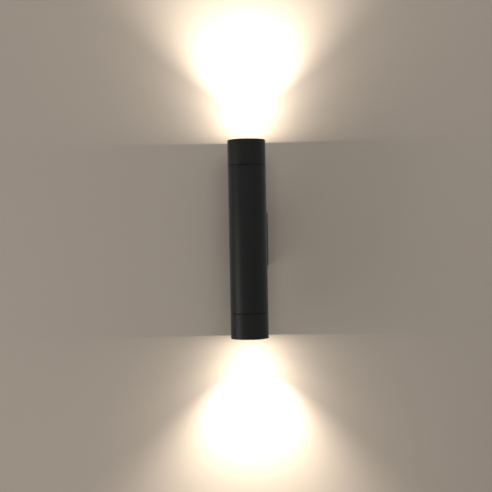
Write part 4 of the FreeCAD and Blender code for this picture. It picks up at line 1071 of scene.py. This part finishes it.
class WALLLIGHT_OT_beams(bpy.types.Operator):
    """Light the wall above and below with each lamp's beam, its spill and its glass's glow"""

    bl_idname = "wall_light.beams"
    bl_label = "Beams"

    def execute(self, context):
        lamp = context.scene.wall_light.lamp
        above_rim, source_r, glass_r, spill_angle = 0.4, 0.4, 23.0, math.radians(140)
        # In the photo the wall close to the upper rim is brighter than close to the lower one
        for end, way, near in (("upper", 1, 1.2), ("lower", -1, 1.0)):
            source = (0, AXIS_Y, way * (RIM_END + above_rim) * MM)
            target = (0, AXIS_Y, way * 1.0)
            cones = (
                ("beam", 1.0, lamp.beam_angle, 1.0),
                ("spill", lamp.spill, spill_angle, 1.0),
                ("glare", lamp.glare * near, math.pi, 0.03),
            )
            for name, part, angle, blend in cones:
                power = lamp.beam_power * part
                light = add_light(f"{end}_{name}", "SPOT", power, lamp.warmth, source, target)
                light.data.spot_size = angle
                light.data.spot_blend = blend
                light.data.shadow_soft_size = source_r * MM
                light.visible_glossy = False
                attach(light, f"{end}_ring")
            power = lamp.beam_power * lamp.glow * near
            glow = add_light(f"{end}_glow", "AREA", power, lamp.warmth, source, target)
            glow.data.shape = "DISK"
            glow.data.size = 2 * glass_r * MM
            glow.visible_glossy = False
            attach(glow, f"{end}_ring")
        return {"FINISHED"}


def plain_sheet(name, corners, tone, one_sided):
    """A flat sheet of the stage with a faintly uneven plain colour.

    A one-sided sheet isn't seen from behind, so that the light's back can be looked at.
    """
    mesh = bpy.data.meshes.new(name)
    mesh.from_pydata(corners, [], [tuple(range(len(corners)))])
    sheet = bpy.data.objects.new(name, mesh)
    bpy.context.scene.collection.objects.link(sheet)
    finish = Finish(name, Roughness=0.9, Specular_IOR_Level=0.1)
    patch = finish.noise(0.35, detail=3.0)
    lighter = tuple(min(1.0, 1.02 * part) for part in tone)
    finish.set("Base Color", finish.mix(patch, tuple(0.98 * part for part in tone), lighter))
    if one_sided:
        clear = finish.add("ShaderNodeBsdfTransparent")
        side = finish.add("ShaderNodeNewGeometry")
        choice = finish.add("ShaderNodeMixShader")
        finish.join(side.outputs["Backfacing"], choice.inputs[0])
        finish.join(finish.shader.outputs["BSDF"], choice.inputs[1])
        finish.join(clear.outputs["BSDF"], choice.inputs[2])
        finish.join(choice.outputs["Shader"], finish.output.inputs["Surface"])
    mesh.materials.append(finish.material)
    return sheet


def add_softbox(name, power, place, size, in_reflections):
    """A soft rectangular light that is aimed at the tube's middle."""
    light = add_light(name, "AREA", power, STUDIO_WHITE, place, (0, AXIS_Y, 0))
    light.data.shape = "RECTANGLE"
    light.data.size, light.data.size_y = size
    light.visible_glossy = in_reflections


def add_camera(stage):
    """The camera at the photo's place, leaning by its roll.

    It is aimed a few of the photo's pixels to the left of the tube's middle and below it. Its
    axes are the cross products of the way ahead and of a Z that leans to the right.
    """
    middle = Vector((0, AXIS_Y, 0))
    data = bpy.data.cameras.new("photo_camera")
    data.sensor_width = 36.0
    data.lens = data.sensor_width * FOCAL_LENGTH / PICTURE_WIDTH
    camera = bpy.data.objects.new("photo_camera", data)
    side, lean = stage.camera_side, stage.camera_roll
    back = Vector((math.sin(side), -math.cos(side), 0.0))
    right = Vector((math.cos(side), math.sin(side), 0.0))
    camera.location = middle + back * stage.camera_distance
    pixel = stage.camera_distance / FOCAL_LENGTH
    aim = middle - right * (2.2 * pixel) - Vector((0, 0, 6.75 * pixel))
    ahead = (aim - camera.location).normalized()
    up = Vector((0, 0, 1)) * math.cos(lean) + right * math.sin(lean)
    across = ahead.cross(up).normalized()
    over = across.cross(ahead)
    camera.rotation_mode = "QUATERNION"
    camera.rotation_quaternion = Matrix((across, over, -ahead)).transposed().to_quaternion()
    bpy.context.scene.collection.objects.link(camera)
    bpy.context.scene.camera = camera


class WALLLIGHT_OT_stage(bpy.types.Operator):
    """Set up the wall, the floor, the studio light and the camera"""

    bl_idname = "wall_light.stage"
    bl_label = "Stage"

    def execute(self, context):
        stage = context.scene.wall_light.stage
        low, high, wide, deep = stage.floor_height, 5, 6, 9
        gap = 0.3 * MM
        face = [(-wide, gap, low), (wide, gap, low), (wide, gap, high), (-wide, gap, high)]
        wall = plain_sheet("wall_sheet", face, stage.wall_tone, one_sided=True)
        # The wall casts no shadow and isn't mirrored, so the rear light reaches the wall plate
        wall.visible_diffuse = False
        wall.visible_glossy = False
        wall.visible_shadow = False
        ground = [(-deep, -deep, low), (deep, -deep, low), (deep, deep, low), (-deep, deep, low)]
        plain_sheet("floor_sheet", ground, stage.floor_tone, one_sided=False)

        world = bpy.data.worlds.new("soft_surround")
        world.use_nodes = True
        surround = world.node_tree.nodes["Background"]
        surround.inputs["Color"].default_value = (1.0, 0.99, 0.975, 1.0)
        surround.inputs["Strength"].default_value = stage.surround
        context.scene.world = world

        add_softbox("left_softbox", stage.key_power, (-1.45, -0.62, -0.64), (0.34, 1.25), True)
        add_softbox("top_softbox", stage.fill_power, (0.25, -2.1, 1.15), (1.8, 1.2), False)
        add_softbox("rear_softbox", stage.rear_power, (0.0, 2.1, 0.35), (1.2, 1.2), False)
        add_camera(stage)
        context.scene.view_settings.view_transform = "Standard"
        return {"FINISHED"}


# -------- panel and start

STEPS = (
    WALLLIGHT_OT_mix_finishes,
    WALLLIGHT_OT_body_tube,
    WALLLIGHT_OT_end_rings,
    WALLLIGHT_OT_front_glasses,
    WALLLIGHT_OT_lamp_optics,
    WALLLIGHT_OT_lamps,
    WALLLIGHT_OT_lampholders,
    WALLLIGHT_OT_wall_box,
    WALLLIGHT_OT_side_screws,
    WALLLIGHT_OT_wall_plate,
    WALLLIGHT_OT_wiring,
    WALLLIGHT_OT_beams,
    WALLLIGHT_OT_stage,
)


class WALLLIGHT_PT_panel(bpy.types.Panel):
    """The settings and building steps of the wall light"""

    bl_idname = "WALLLIGHT_PT_panel"
    bl_label = "Wall Light"
    bl_space_type = "VIEW_3D"
    bl_region_type = "UI"
    bl_category = "Wall Light"

    def draw(self, context):
        settings = context.scene.wall_light
        for part in ("shell", "coat", "lamp", "stage"):
            group = getattr(settings, part)
            box = self.layout.box()
            box.label(text=part.capitalize())
            for name in group.bl_rna.properties.keys():
                if name not in ("rna_type", "name"):
                    box.prop(group, name)
        for step in STEPS:
            self.layout.operator(step.bl_idname)


CLASSES = (
    WALLLIGHT_PG_shell,
    WALLLIGHT_PG_coat,
    WALLLIGHT_PG_lamp,
    WALLLIGHT_PG_stage,
    WALLLIGHT_PG_settings,
    *STEPS,
    WALLLIGHT_PT_panel,
)


def register():
    """Register the classes and hang the settings on the scene."""
    for kind in CLASSES:
        bpy.utils.register_class(kind)
    bpy.types.Scene.wall_light = PointerProperty(type=WALLLIGHT_PG_settings)


def unregister():
    """Take the settings and the classes away again."""
    del bpy.types.Scene.wall_light
    for kind in reversed(CLASSES):
        bpy.utils.unregister_class(kind)


def main():
    """Run the building steps in order."""
    register()
    for step in STEPS:
        group, name = step.bl_idname.split(".")
        getattr(getattr(bpy.ops, group), name)()


if __name__ == "__main__":
    main()
